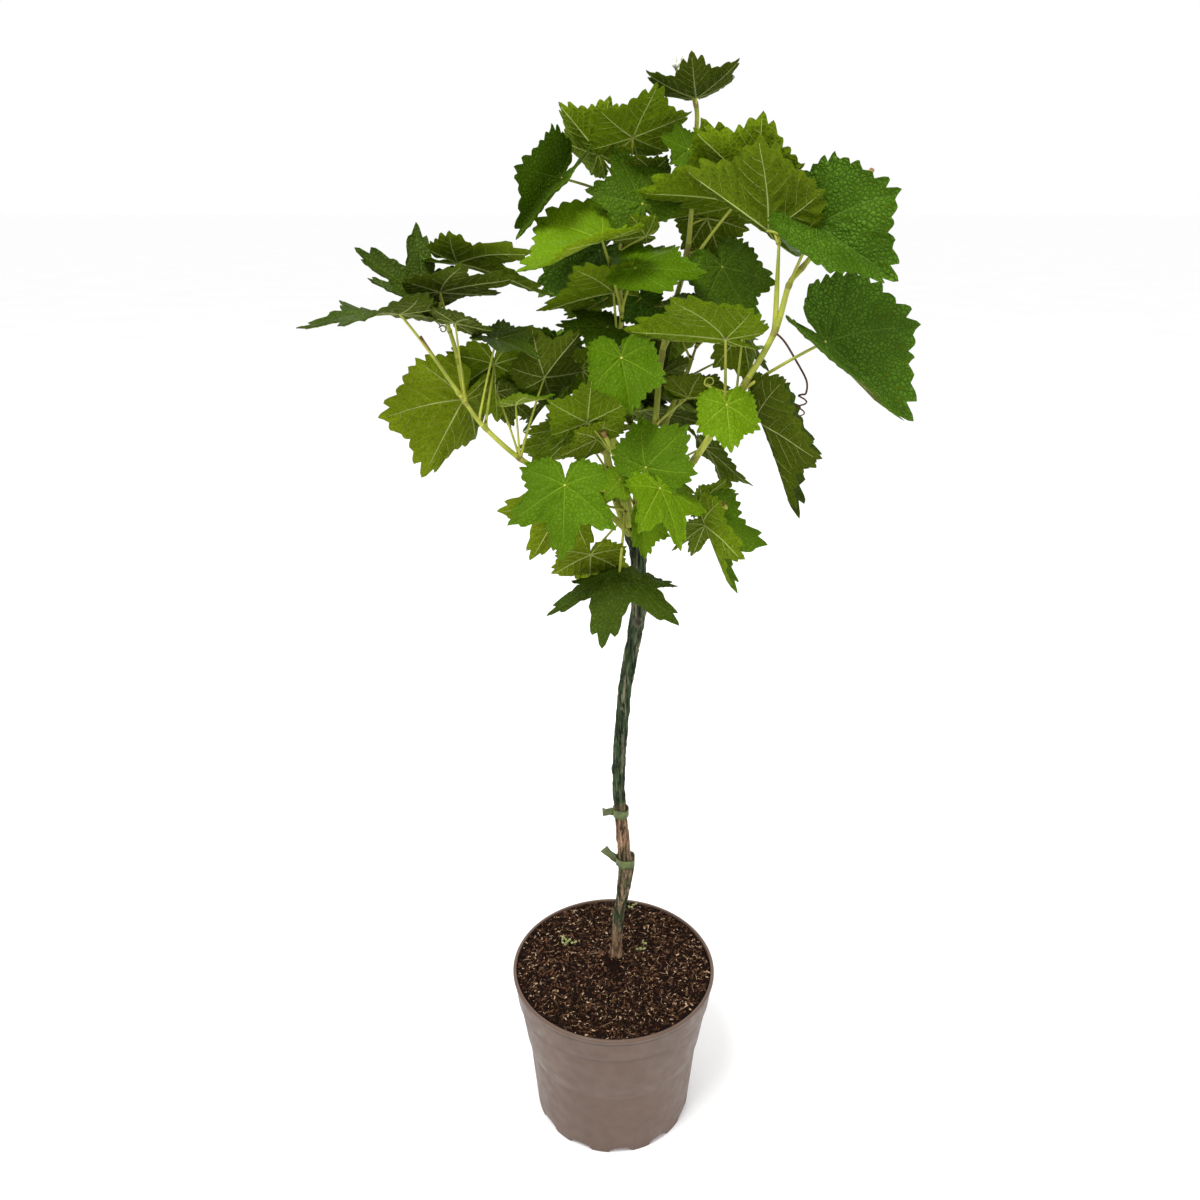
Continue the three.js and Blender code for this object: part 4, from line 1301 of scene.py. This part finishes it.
def bark_relief(point, bearing, height):
    """How far the bark stands out or is furrowed, in millimetres."""
    ridge = 1 - abs(bark_waves(point, height, 0.42, 0.045)) * 2.6
    furrow = -FISSURE_DEPTH * max(0, ridge) ** 3
    plates = 0.6 * bark_waves(point, height, 0.2, 0.09)
    plates += 0.4 * bark_waves(point, height, 0.3, 0.24)
    grain = 0.22 * bark_waves(point, height, 1.6, 0.25)
    relief = furrow + plates + grain
    for knot_height, knot_bearing, radius, out in KNOTS:
        turn = (bearing - knot_bearing + 180) % 360 - 180
        gap = math.hypot(height - knot_height, math.radians(turn) * 6.5)
        if gap < radius * 1.6:
            ring = math.exp(-((gap / (radius * 0.55)) ** 2))
            relief += out * ring - 0.5 * out * math.exp(-((gap / (radius * 0.22)) ** 2))
    return relief


def make_trunk(bark):
    """The bare trunk with its bark, from the flat cut at the soil to the knobbly head."""
    foot = SOIL_TOP - TRUNK_BELOW
    heights = np.arange(foot, TRUNK_TOP, TRUNK_STEP)
    middles = smooth_trunk(heights)
    mesh = bmesh.new()
    ring = bmesh.ops.create_circle(mesh, cap_ends=False, segments=TRUNK_SIDES, radius=1)["verts"]
    edges = list({edge for vert in ring for edge in vert.link_edges})
    rings = [ring]
    for _ in heights[1:]:
        made = bmesh.ops.extrude_edge_only(mesh, edges=edges)["geom"]
        ring = [item for item in made if isinstance(item, bmesh.types.BMVert)]
        edges = [item for item in made if isinstance(item, bmesh.types.BMEdge)]
        rings.append(ring)
    for ring, height, (x, y, radius) in zip(rings, heights, middles):
        flare = FLARE * math.exp(-(((height - foot) / FLARE_REACH) ** 2))
        for vert in ring:
            c, s = vert.co.x, vert.co.y
            bearing = math.degrees(math.atan2(s, c))
            fluted = 1 + flare * (1 + 0.7 * math.sin(FLUTES * math.radians(bearing)))
            out = radius * fluted + bark_relief((x + radius * c, y + radius * s), bearing, height)
            vert.co = Vector((x + out * c, y + out * s, height)) * MM
    for ring in (rings[0], rings[-1]):
        bmesh.ops.contextual_create(mesh, geom=ring)
    bmesh.ops.poke(mesh, faces=[face for face in mesh.faces if len(face.verts) > 4])
    bmesh.ops.recalc_face_normals(mesh, faces=mesh.faces)
    return from_bmesh("trunk_bark", mesh, [bark])


def from_bmesh(name, mesh, materials):
    """A finished, smoothly shaded object from a bmesh, at the origin."""
    data = bpy.data.meshes.new(name)
    mesh.to_mesh(data)
    mesh.free()
    for material in materials:
        data.materials.append(material)
    data.polygons.foreach_set("use_smooth", np.ones(len(data.polygons), bool))
    return shown(name, data)


# ---------------------------------------------------------------- pot and soil

POT_SIDES = 288
WALL_ROWS = (20, 40, 60, 70, 73.5, 75, 76.5, 81, 86.5, 88, 89.5, 98, 112, 124)
FOOT_ROWS = (0, 1.2, 2.4, 3.4, 4.3, 5.2, 5.9, 6.6, 8)
FOOT_ROUND = 0.8
FOOT_WIDTH = 7  # how far in from the pot's foot a notch can cut
BAND_ROUND = 0.9
LIP_NICK = (4, 2.4, 0.9)  # a small dent in the lip at the front: where it is across, its reach and depth
CREASE_ANGLE = 38  # edges that turn by more are drawn sharp


def arc(centre, radius, first, last, steps):
    """Points of an arc in the profile's plane, as (radius, height)."""
    for k in range(steps + 1):
        angle = math.radians(first + (last - first) * k / steps)
        yield centre[0] + radius * math.cos(angle), centre[1] + radius * math.sin(angle)


def pot_profile():
    """The pot's section from the middle of its underside, up the outside, over the lip and down inside."""
    band_foot = POT_HEIGHT - BAND_HEIGHT
    band = BAND_TOP_RADIUS
    wall_top = BAND_FOOT_RADIUS - BAND_STEP
    heights = (0, WAIST[1], SHOULDER[1], band_foot)
    radii = (POT_FOOT_RADIUS, WAIST[0], SHOULDER[0], wall_top)

    def outside(height):
        return float(np.interp(height, heights, radii))

    yield 0.0, 0.0
    yield POT_FOOT_RADIUS - 12, 0.0
    yield POT_FOOT_RADIUS - 6, 0.0
    yield from arc((POT_FOOT_RADIUS - FOOT_ROUND, FOOT_ROUND), FOOT_ROUND, -90, 0, 3)
    for height in FOOT_ROWS[2:]:
        yield outside(height), height
    for height in WALL_ROWS:
        yield outside(height), height
    yield outside(band_foot) - 0.3, band_foot - 0.8
    yield from arc((BAND_FOOT_RADIUS - BAND_ROUND, band_foot + BAND_ROUND), BAND_ROUND, -90, 0, 3)
    yield band, POT_HEIGHT - 5.2
    yield band + 0.15, POT_HEIGHT - 4.4
    yield from arc((POT_TOP_RADIUS - LIP_ROUND, POT_HEIGHT - LIP_ROUND), LIP_ROUND, -50, 130, 10)
    yield band - POT_WALL, POT_HEIGHT - 4.5
    yield BAND_FOOT_RADIUS - POT_WALL, band_foot + POT_WALL
    yield wall_top - POT_WALL, band_foot - POT_WALL
    yield SHOULDER[0] - POT_WALL, SHOULDER[1]
    yield WAIST[0] - POT_WALL, WAIST[1]
    yield POT_FOOT_RADIUS - POT_WALL, POT_FLOOR
    yield 0.0, POT_FLOOR


def notch_share(bearing):
    """How deep in a foot notch a bearing is: 0 between notches, 1 at a notch's middle."""
    pitch = 360 / NOTCH_COUNT
    off = (bearing - 90 - NOTCH_TURN + pitch / 2) % pitch - pitch / 2
    across = math.radians(off) * POT_FOOT_RADIUS / NOTCH_HALF_WIDTH
    return math.sqrt(max(0, 1 - across * across))


def turned(profile, sides):
    """A mesh of a section, which is given as (radius, height), turned about the middle."""
    mesh = bmesh.new()
    verts = [mesh.verts.new(Vector((x, 0, z)) * MM) for x, z in profile]
    edges = [mesh.edges.new(pair) for pair in zip(verts, verts[1:])]
    bmesh.ops.spin(
        mesh,
        geom=verts + edges,
        cent=(0, 0, 0),
        axis=(0, 0, 1),
        angle=2 * math.pi,
        steps=sides,
        use_merge=True,
    )
    bmesh.ops.remove_doubles(mesh, verts=mesh.verts, dist=1e-6)
    return mesh


def cut_notches(mesh):
    """Pushes the foot of the wall in where an arch stands over each notch."""
    for vert in mesh.verts:
        radius = math.hypot(vert.co.x, vert.co.y) / MM
        height = vert.co.z / MM
        inwards = radius - POT_FOOT_RADIUS + FOOT_WIDTH
        if inwards < 0 or height > NOTCH_HEIGHT + 1 or radius > POT_FOOT_RADIUS + 2:
            continue
        open_to = NOTCH_HEIGHT * notch_share(math.degrees(math.atan2(vert.co.y, vert.co.x)))
        cut = min(1, max(0, (open_to - height) / NOTCH_RISE))
        depth = cut * min(NOTCH_DEPTH - 1, max(0, inwards))
        share = (radius - depth) / radius
        vert.co.x *= share
        vert.co.y *= share


def nick_lip(mesh):
    """Dents the lip a little at the front."""
    place, reach, depth = LIP_NICK
    for vert in mesh.verts:
        away = math.hypot(vert.co.x - place * MM, vert.co.y + POT_TOP_RADIUS * MM)
        if away < reach * MM and vert.co.z > (POT_HEIGHT - 4) * MM:
            vert.co.z -= depth * MM * (1 - away / (reach * MM))


def make_pot(plastic):
    """The nursery pot: a wall with a waist and a shoulder, a flared band, a rolled lip and an arched foot."""
    mesh = turned(pot_profile(), POT_SIDES)
    cut_notches(mesh)
    nick_lip(mesh)
    bmesh.ops.recalc_face_normals(mesh, faces=mesh.faces)
    pot = from_bmesh("pot_shell", mesh, [plastic])
    creased = pot.data.attributes.new("sharp_edge", "BOOLEAN", "EDGE")
    creased.data.foreach_set("value", sharp_edges(pot.data, CREASE_ANGLE))
    return pot


def sharp_edges(mesh, angle):
    """Which edges turn by more than an angle."""
    work = bmesh.new()
    work.from_mesh(mesh)
    limit = math.radians(angle)
    sharp = [len(edge.link_faces) == 2 and edge.calc_face_angle() > limit for edge in work.edges]
    work.free()
    return sharp


SOIL_RINGS = 46
SOIL_SIDES = 160


def soil_waves(x, y, waves, layer):
    """Noise over the soil with that many waves a millimetre, from a layer of its own."""
    return noise.noise(Vector((x * waves, y * waves, layer)))


def soil_height(x, y):
    """The peat's lumpy surface, in millimetres."""
    broad = 1.6 * soil_waves(x, y, 0.028, 3.1)
    lumps = 1.5 * soil_waves(x, y, 0.11, 7.7)
    crumbs = 1.1 * soil_waves(x, y, 0.3, 1.3) + 0.5 * soil_waves(x, y, 0.8, 5.9)
    return SOIL_TOP + 0.2 + 0.7 * broad + 0.8 * lumps + crumbs


def make_soil(peat):
    """Peat that fills the pot nearly to its lip."""
    band_foot = POT_HEIGHT - BAND_HEIGHT
    inset = POT_WALL + GAP
    rim = BAND_TOP_RADIUS - POT_WALL - GAP
    profile = [
        (0.0, SOIL_TOP),
        *((rim * (k / SOIL_RINGS), SOIL_TOP) for k in range(1, SOIL_RINGS + 1)),
        (BAND_FOOT_RADIUS - inset, band_foot + POT_WALL),
        (BAND_FOOT_RADIUS - BAND_STEP - inset, band_foot - POT_WALL),
        (SHOULDER[0] - inset, SHOULDER[1]),
        (WAIST[0] - inset, WAIST[1]),
        (POT_FOOT_RADIUS - inset, POT_FLOOR + GAP),
        (0.0, POT_FLOOR + GAP),
    ]
    mesh = turned(profile, SOIL_SIDES)
    for vert in mesh.verts:
        if vert.co.z > (SOIL_TOP - 0.5) * MM:
            vert.co.z = soil_height(vert.co.x / MM, vert.co.y / MM) * MM
    bmesh.ops.recalc_face_normals(mesh, faces=mesh.faces)
    return from_bmesh("peat_bed", mesh, [peat])


def scatter_place(draw, inner, outer):
    """A place on the soil, drawn evenly from between two radii."""
    radius = math.sqrt(draw(inner * inner, outer * outer))
    angle = draw(0, 2 * math.pi)
    x, y = radius * math.cos(angle), radius * math.sin(angle)
    return np.array([x, y, soil_height(x, y)])


CHIP_BOX = np.array([(x, y, z) for z in (-1, 1) for x, y in ((-1, -1), (1, -1), (1, 1), (-1, 1))], float)
CHIP_FACES = [(0, 3, 2, 1), (4, 5, 6, 7), (0, 1, 5, 4), (1, 2, 6, 5), (2, 3, 7, 6), (3, 0, 4, 7)]
CHIPS = 5200
LONG_CHIP_EVERY = 14
CHIP_LOOKS = (1, 3, 0, 1, 4, 3, 1, 0, 4, 2)  # the colours that the chips take in turn
FIBRES = 640
FIBRE_LOOKS = (0, 4, 1, 2)
FIBRE_JOINTS = 3
SEEDLING_TUFTS = (
    # x, y and how many seedlings stand round them
    (-44, 29, 6),
    (27, 22, 3),
    (21, 82, 2),
)
SEED_LEAF_WIDTHS = np.array([0.35, 1.25, 1.1, 0.15])


def add_chip(pile, draw, look, long):
    """A flat crooked splinter, turned any way and tilted a little."""
    place = scatter_place(draw, 7, 90.5)
    length = draw(1.8, 4.6) if long else draw(0.5, 1.7)
    box = CHIP_BOX * np.array([length, draw(0.2, 0.5) * min(length, 2), draw(0.12, 0.35)])
    box = box * (1 + 0.3 * np.array([[draw(-1, 1)] for _ in CHIP_BOX]))
    turn, tilt = draw(0, 2 * math.pi), draw(-0.5, 0.5)
    level = np.array([math.cos(turn), math.sin(turn), math.sin(tilt)])
    level /= np.linalg.norm(level)
    side = np.cross([draw(-0.4, 0.4), draw(-0.4, 0.4), 1.0], level)
    side /= np.linalg.norm(side)
    axes = np.stack([level, side, np.cross(level, side)])
    pile.add(place + np.array([0, 0, draw(-0.1, 0.35)]) + box @ axes, CHIP_FACES, look)


def add_fibre(pile, draw, look):
    """A thin fibre that wanders over the soil."""
    start = scatter_place(draw, 12, 84)
    heading, run = draw(0, 360), draw(2.5, 8)
    points = [start + np.array([0, 0, 0.3])]
    for _ in range(FIBRE_JOINTS):
        heading += draw(-45, 45)
        ahead = points[-1] + way(heading, 0) * run / FIBRE_JOINTS
        ahead[2] = soil_height(ahead[0], ahead[1]) + draw(0.1, 0.7)
        points.append(ahead)
    add_tube(pile, points, draw(0.12, 0.26), 4, look)


def make_chips(materials):
    """Bark chips, splinters and fibres that lie on and in the peat, of mixed browns and tans."""
    draw = seeded(4711)
    pile = Pile()
    for number in range(CHIPS):
        add_chip(pile, draw, CHIP_LOOKS[number % len(CHIP_LOOKS)], number % LONG_CHIP_EVERY == 0)
    for number in range(FIBRES):
        add_fibre(pile, draw, FIBRE_LOOKS[number % len(FIBRE_LOOKS)])
    return pile.piece("peat_chips", materials)


def make_seedlings(material):
    """Three tufts of tiny seedlings on the peat, each a stem with two seed leaves."""
    draw = seeded(97)
    pile = Pile()
    for x, y, count in SEEDLING_TUFTS:
        for _ in range(count):
            at = np.array([x + draw(-5, 5), y + draw(-4, 4), 0])
            at[2] = soil_height(at[0], at[1])
            lean = way(draw(0, 360), draw(50, 80))
            top = at + draw(1.5, 3.5) * lean
            add_tube(pile, [at - lean, at, top], 0.25, 5, 0)
            turn = draw(0, 360)
            for hand in (0, 180):
                out = way(turn + hand, draw(5, 30)) * draw(2.0, 3.0)
                leaf = [top, top + 0.5 * out, top + out, top + 1.3 * out]
                add_tube(pile, leaf, SEED_LEAF_WIDTHS, 6, 0)
    return pile.piece("seedlings", [material])


# ---------------------------------------------------------------- ties

TIE_WIDTH = 8.5
TIE_THICK = 0.7
TIE_LAPS = 2
TIE_EASE = 1.1  # how far outside the trunk's radius the tape lies
TIE_STEPS = 96
TAIL_STEPS = 6
TAPE_ACROSS = (-1, -0.4, 0.4, 1)  # the corners across the tape, as parts of its half-width


def make_tie(name, height, tail, material):
    """A band of tie tape snug round the trunk, twice lapped. Its tail is a bearing, a rise and a length."""
    mesh = bmesh.new()
    x, y, radius = smooth_trunk([height])[0]
    rows = []
    for k in range(TIE_STEPS + 1):
        angle = 2 * math.pi * TIE_LAPS * k / TIE_STEPS + math.radians(tail[0])
        lap = k / TIE_STEPS
        out = radius + TIE_EASE + 0.5 * lap + 0.25 * math.sin(5 * angle + height)
        lift = height + 1.2 * (lap - 0.5) + 0.5 * math.sin(2 * angle)
        half = TIE_WIDTH / 2 * (0.9 + 0.1 * math.sin(3 * angle))
        edge = x + out * math.cos(angle), y + out * math.sin(angle)
        rows.append([(*edge, lift + half * s) for s in TAPE_ACROSS])
    end = np.array(rows[-1]).mean(axis=0)
    out = way(*tail[:2])
    across = np.cross(out, (0, -1, 0))
    for k in range(1, TAIL_STEPS + 1):
        share = k / TAIL_STEPS
        half = TIE_WIDTH / 2 * (1.02 - 0.25 * math.sin(math.pi * share))
        centre = end + out * tail[2] * share + np.array([0, 0.5 * math.sin(7 * share), 0])
        rows.append([tuple(centre + across * half * s) for s in TAPE_ACROSS])
    grid = [[mesh.verts.new(Vector(p) * MM) for p in row] for row in rows]
    for near, far in zip(grid, grid[1:]):
        for k in range(len(TAPE_ACROSS) - 1):
            mesh.faces.new((near[k], far[k], far[k + 1], near[k + 1]))
    bmesh.ops.recalc_face_normals(mesh, faces=mesh.faces)
    bmesh.ops.solidify(mesh, geom=mesh.faces[:], thickness=TIE_THICK * MM)
    bmesh.ops.recalc_face_normals(mesh, faces=mesh.faces)
    return from_bmesh(name, mesh, [material])


# ---------------------------------------------------------------- the whole vine


def masses():
    """Each foliage mass by name: its own shoot first, then the side shoots that grow from it."""
    grouped = {}
    for shoot in SHOOTS:
        parent = shoot["on"][0] if "on" in shoot else shoot["name"]
        grouped.setdefault(parent, []).append(shoot)
    return grouped


def between(one, other, share):
    """A colour part of the way from one to another."""
    return tuple(a + (b - a) * share for a, b in zip(one, other))


def leaf_paints(tones):
    """The six materials of each tone: upper side, underside, and the main and side veins of each."""
    made = {}
    for tone in tones:
        upper, under, upper_vein, under_vein = LEAF_TONES[tone]
        made[tone] = [
            upper_material(f"leaf_{tone}_upper", upper, QUILTED[tone]),
            under_material(f"leaf_{tone}_under", under),
            vein_material(f"vein_{tone}_upper", upper_vein),
            vein_material(f"vein_{tone}_under", under_vein),
            vein_material(f"branch_{tone}_upper", between(upper, upper_vein, BRANCH_SHOW)),
            vein_material(f"branch_{tone}_under", between(under, under_vein, BRANCH_SHOW)),
        ]
    return made


def placed(piece, slot, *nodes):
    """A piece that rides on the plant and stands for CAD nodes, which it hides. Its slot is not used."""
    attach(piece, "root")
    if nodes:
        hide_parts(*nodes)
    return piece


def make_vine():
    """The crown: each mass's leaves, its green parts, and the limb that it grows from."""
    paints = leaf_paints(LEAF_TONES)
    stems = [
        stem_material("stem_green", STEM_GREEN, STEM_PALE),
        stem_material("stalk_green", STEM_PALE, STEM_GREEN),
        stem_material("stem_node", STEM_NODE, STEM_GREEN, 0.7),
        plain_material("stem_cut", STEM_CUT),
        plain_material("bud_scale", BUD),
        plain_material("tendril", TENDRIL),
        plain_material("old_tendril", OLD_TENDRIL),
        plain_material("tip_wool", WOOL, 0.9),
    ]
    for name, shoots in masses().items():
        draw = seeded(1000 + sum(ord(letter) for letter in name))
        blades, green = Pile(), Pile()
        tones = []
        for shoot in shoots:
            for leaf in leaves_of(shoot):
                if leaf["tone"] not in tones:
                    tones.append(leaf["tone"])
                first = LEAF_LOOKS * tones.index(leaf["tone"])
                add_blade(blades, leaf, draw, range(first, first + LEAF_LOOKS))
                add_stalk(green, leaf)
            add_stem(green, shoot, shoot["bough"], len(shoot["internodes"]))
        for tendril in TENDRILS:
            if tendril["on"] == name:
                add_tendril(green, tendril)
        if name == "top":
            add_wool(green, nodes_of(shoots[0])[-1])
        mass = f"{name}_foliage"
        leaf_materials = [paint for tone in tones for paint in paints[tone]]
        placed(blades.piece(f"{name}_leaves", leaf_materials), "foliage", mass)
        placed(green.piece(f"{name}_stems", stems), "shoot", mass)
        if shoots[0]["bough"]:
            limb = Pile()
            add_stem(limb, shoots[0], 0, shoots[0]["bough"])
            placed(limb.piece(f"{name}_limb", stems), "shoot", f"{name}_bough")


LEAFLETS = 7
LEAFLET_LENGTHS = np.array([0, 0.3, 0.6, 0.85, 1.0])
LEAFLET_WIDTHS = np.array([0.6, 1.5, 1.7, 1.1, 0.2])
LEAFLET_SIDES = 7


def add_wool(pile, tip):
    """The woolly growing tip: a few small pale leaflets still folded together."""
    draw = seeded(5)
    for _ in range(LEAFLETS):
        lean = way(draw(0, 360), draw(35, 80))
        lengths = LEAFLET_LENGTHS[:, None] * draw(5, 11)
        add_tube(pile, tip + lengths * lean, LEAFLET_WIDTHS, LEAFLET_SIDES, DOWN)


# ---------------------------------------------------------------- everything in its place

bark = bark_material()
placed(make_trunk(bark), "bark", "trunk")
tape = tie_material()
placed(make_tie("lower_tie_tape", 275, (178, 45, 16), tape), "tie_tape", "lower_tie")
placed(make_tie("upper_tie_tape", 328, (180, -4, 9), tape), "tie_tape", "upper_tie")
placed(make_pot(pot_material()), "pot", "pot")
placed(make_soil(soil_material()), "soil", "soil")
chips = [plain_material(f"chip_{n}", colour, 0.85, 900) for n, colour in enumerate(CHIP_COLOURS)]
placed(make_chips(chips), "soil", "soil")
placed(make_seedlings(plain_material("seedling", SEEDLING, 0.6)), "soil", "soil")
make_vine()

# ---------------------------------------------------------------- floor, light and camera

FLOOR_REACH = 45.0
LENS = 30
TILT = 22.1
CAMERA_AT = (-0.0128, -0.750, 0.835)
LIGHTS = (
    # name, place, what it points at, size in metres and power in watts
    ("key", (-0.7, -1.0, 2.6), (0, 0, 0.6), 0.9, 46),
    ("fill", (1.9, -1.2, 1.4), (0, 0, 0.6), 1.6, 6),
    ("back", (0.4, 1.8, 2.2), (0, 0, 0.7), 1.4, 8),
)


def make_floor():
    """A wide white floor."""
    mesh = bmesh.new()
    bmesh.ops.create_grid(mesh, x_segments=4, y_segments=4, size=FLOOR_REACH)
    material, tree, shader, places = new_material("floor", 0.9)
    tone = mottled(tree, noise_of(tree, places, 2), FLOOR_WHITE, 1.0, 1.01)
    tree.links.new(tone, shader.inputs["Base Color"])
    from_bmesh("floor", mesh, [material])


def make_light(name, place, aim, size, power):
    """A round soft light."""
    lamp = bpy.data.lights.new(name, "AREA")
    lamp.shape = "DISK"
    lamp.size = size
    lamp.energy = power
    thing = bpy.data.objects.new(name, lamp)
    thing.location = place
    thing.rotation_euler = (Vector(aim) - Vector(place)).to_track_quat("-Z", "Y").to_euler()
    bpy.context.scene.collection.objects.link(thing)


def make_world():
    """Even white light from all round."""
    world = bpy.data.worlds.new("studio")
    world.use_nodes = True
    background = world.node_tree.nodes["Background"]
    background.inputs["Color"].default_value = (1.0, 1.0, 1.0, 1.0)
    background.inputs["Strength"].default_value = 1.0
    bpy.context.scene.world = world
    bpy.context.scene.view_settings.view_transform = "Standard"


def make_camera():
    """The camera in front of the pot, tilted down."""
    lens = bpy.data.cameras.new("camera")
    lens.lens = LENS
    lens.sensor_width = 36
    lens.clip_start = 0.01
    lens.dof.use_dof = False
    camera = bpy.data.objects.new("camera", lens)
    camera.location = CAMERA_AT
    camera.rotation_euler = (math.radians(90 - TILT), 0, 0)
    bpy.context.scene.collection.objects.link(camera)
    bpy.context.scene.camera = camera


make_floor()
for light in LIGHTS:
    make_light(*light)
make_world()
make_camera()
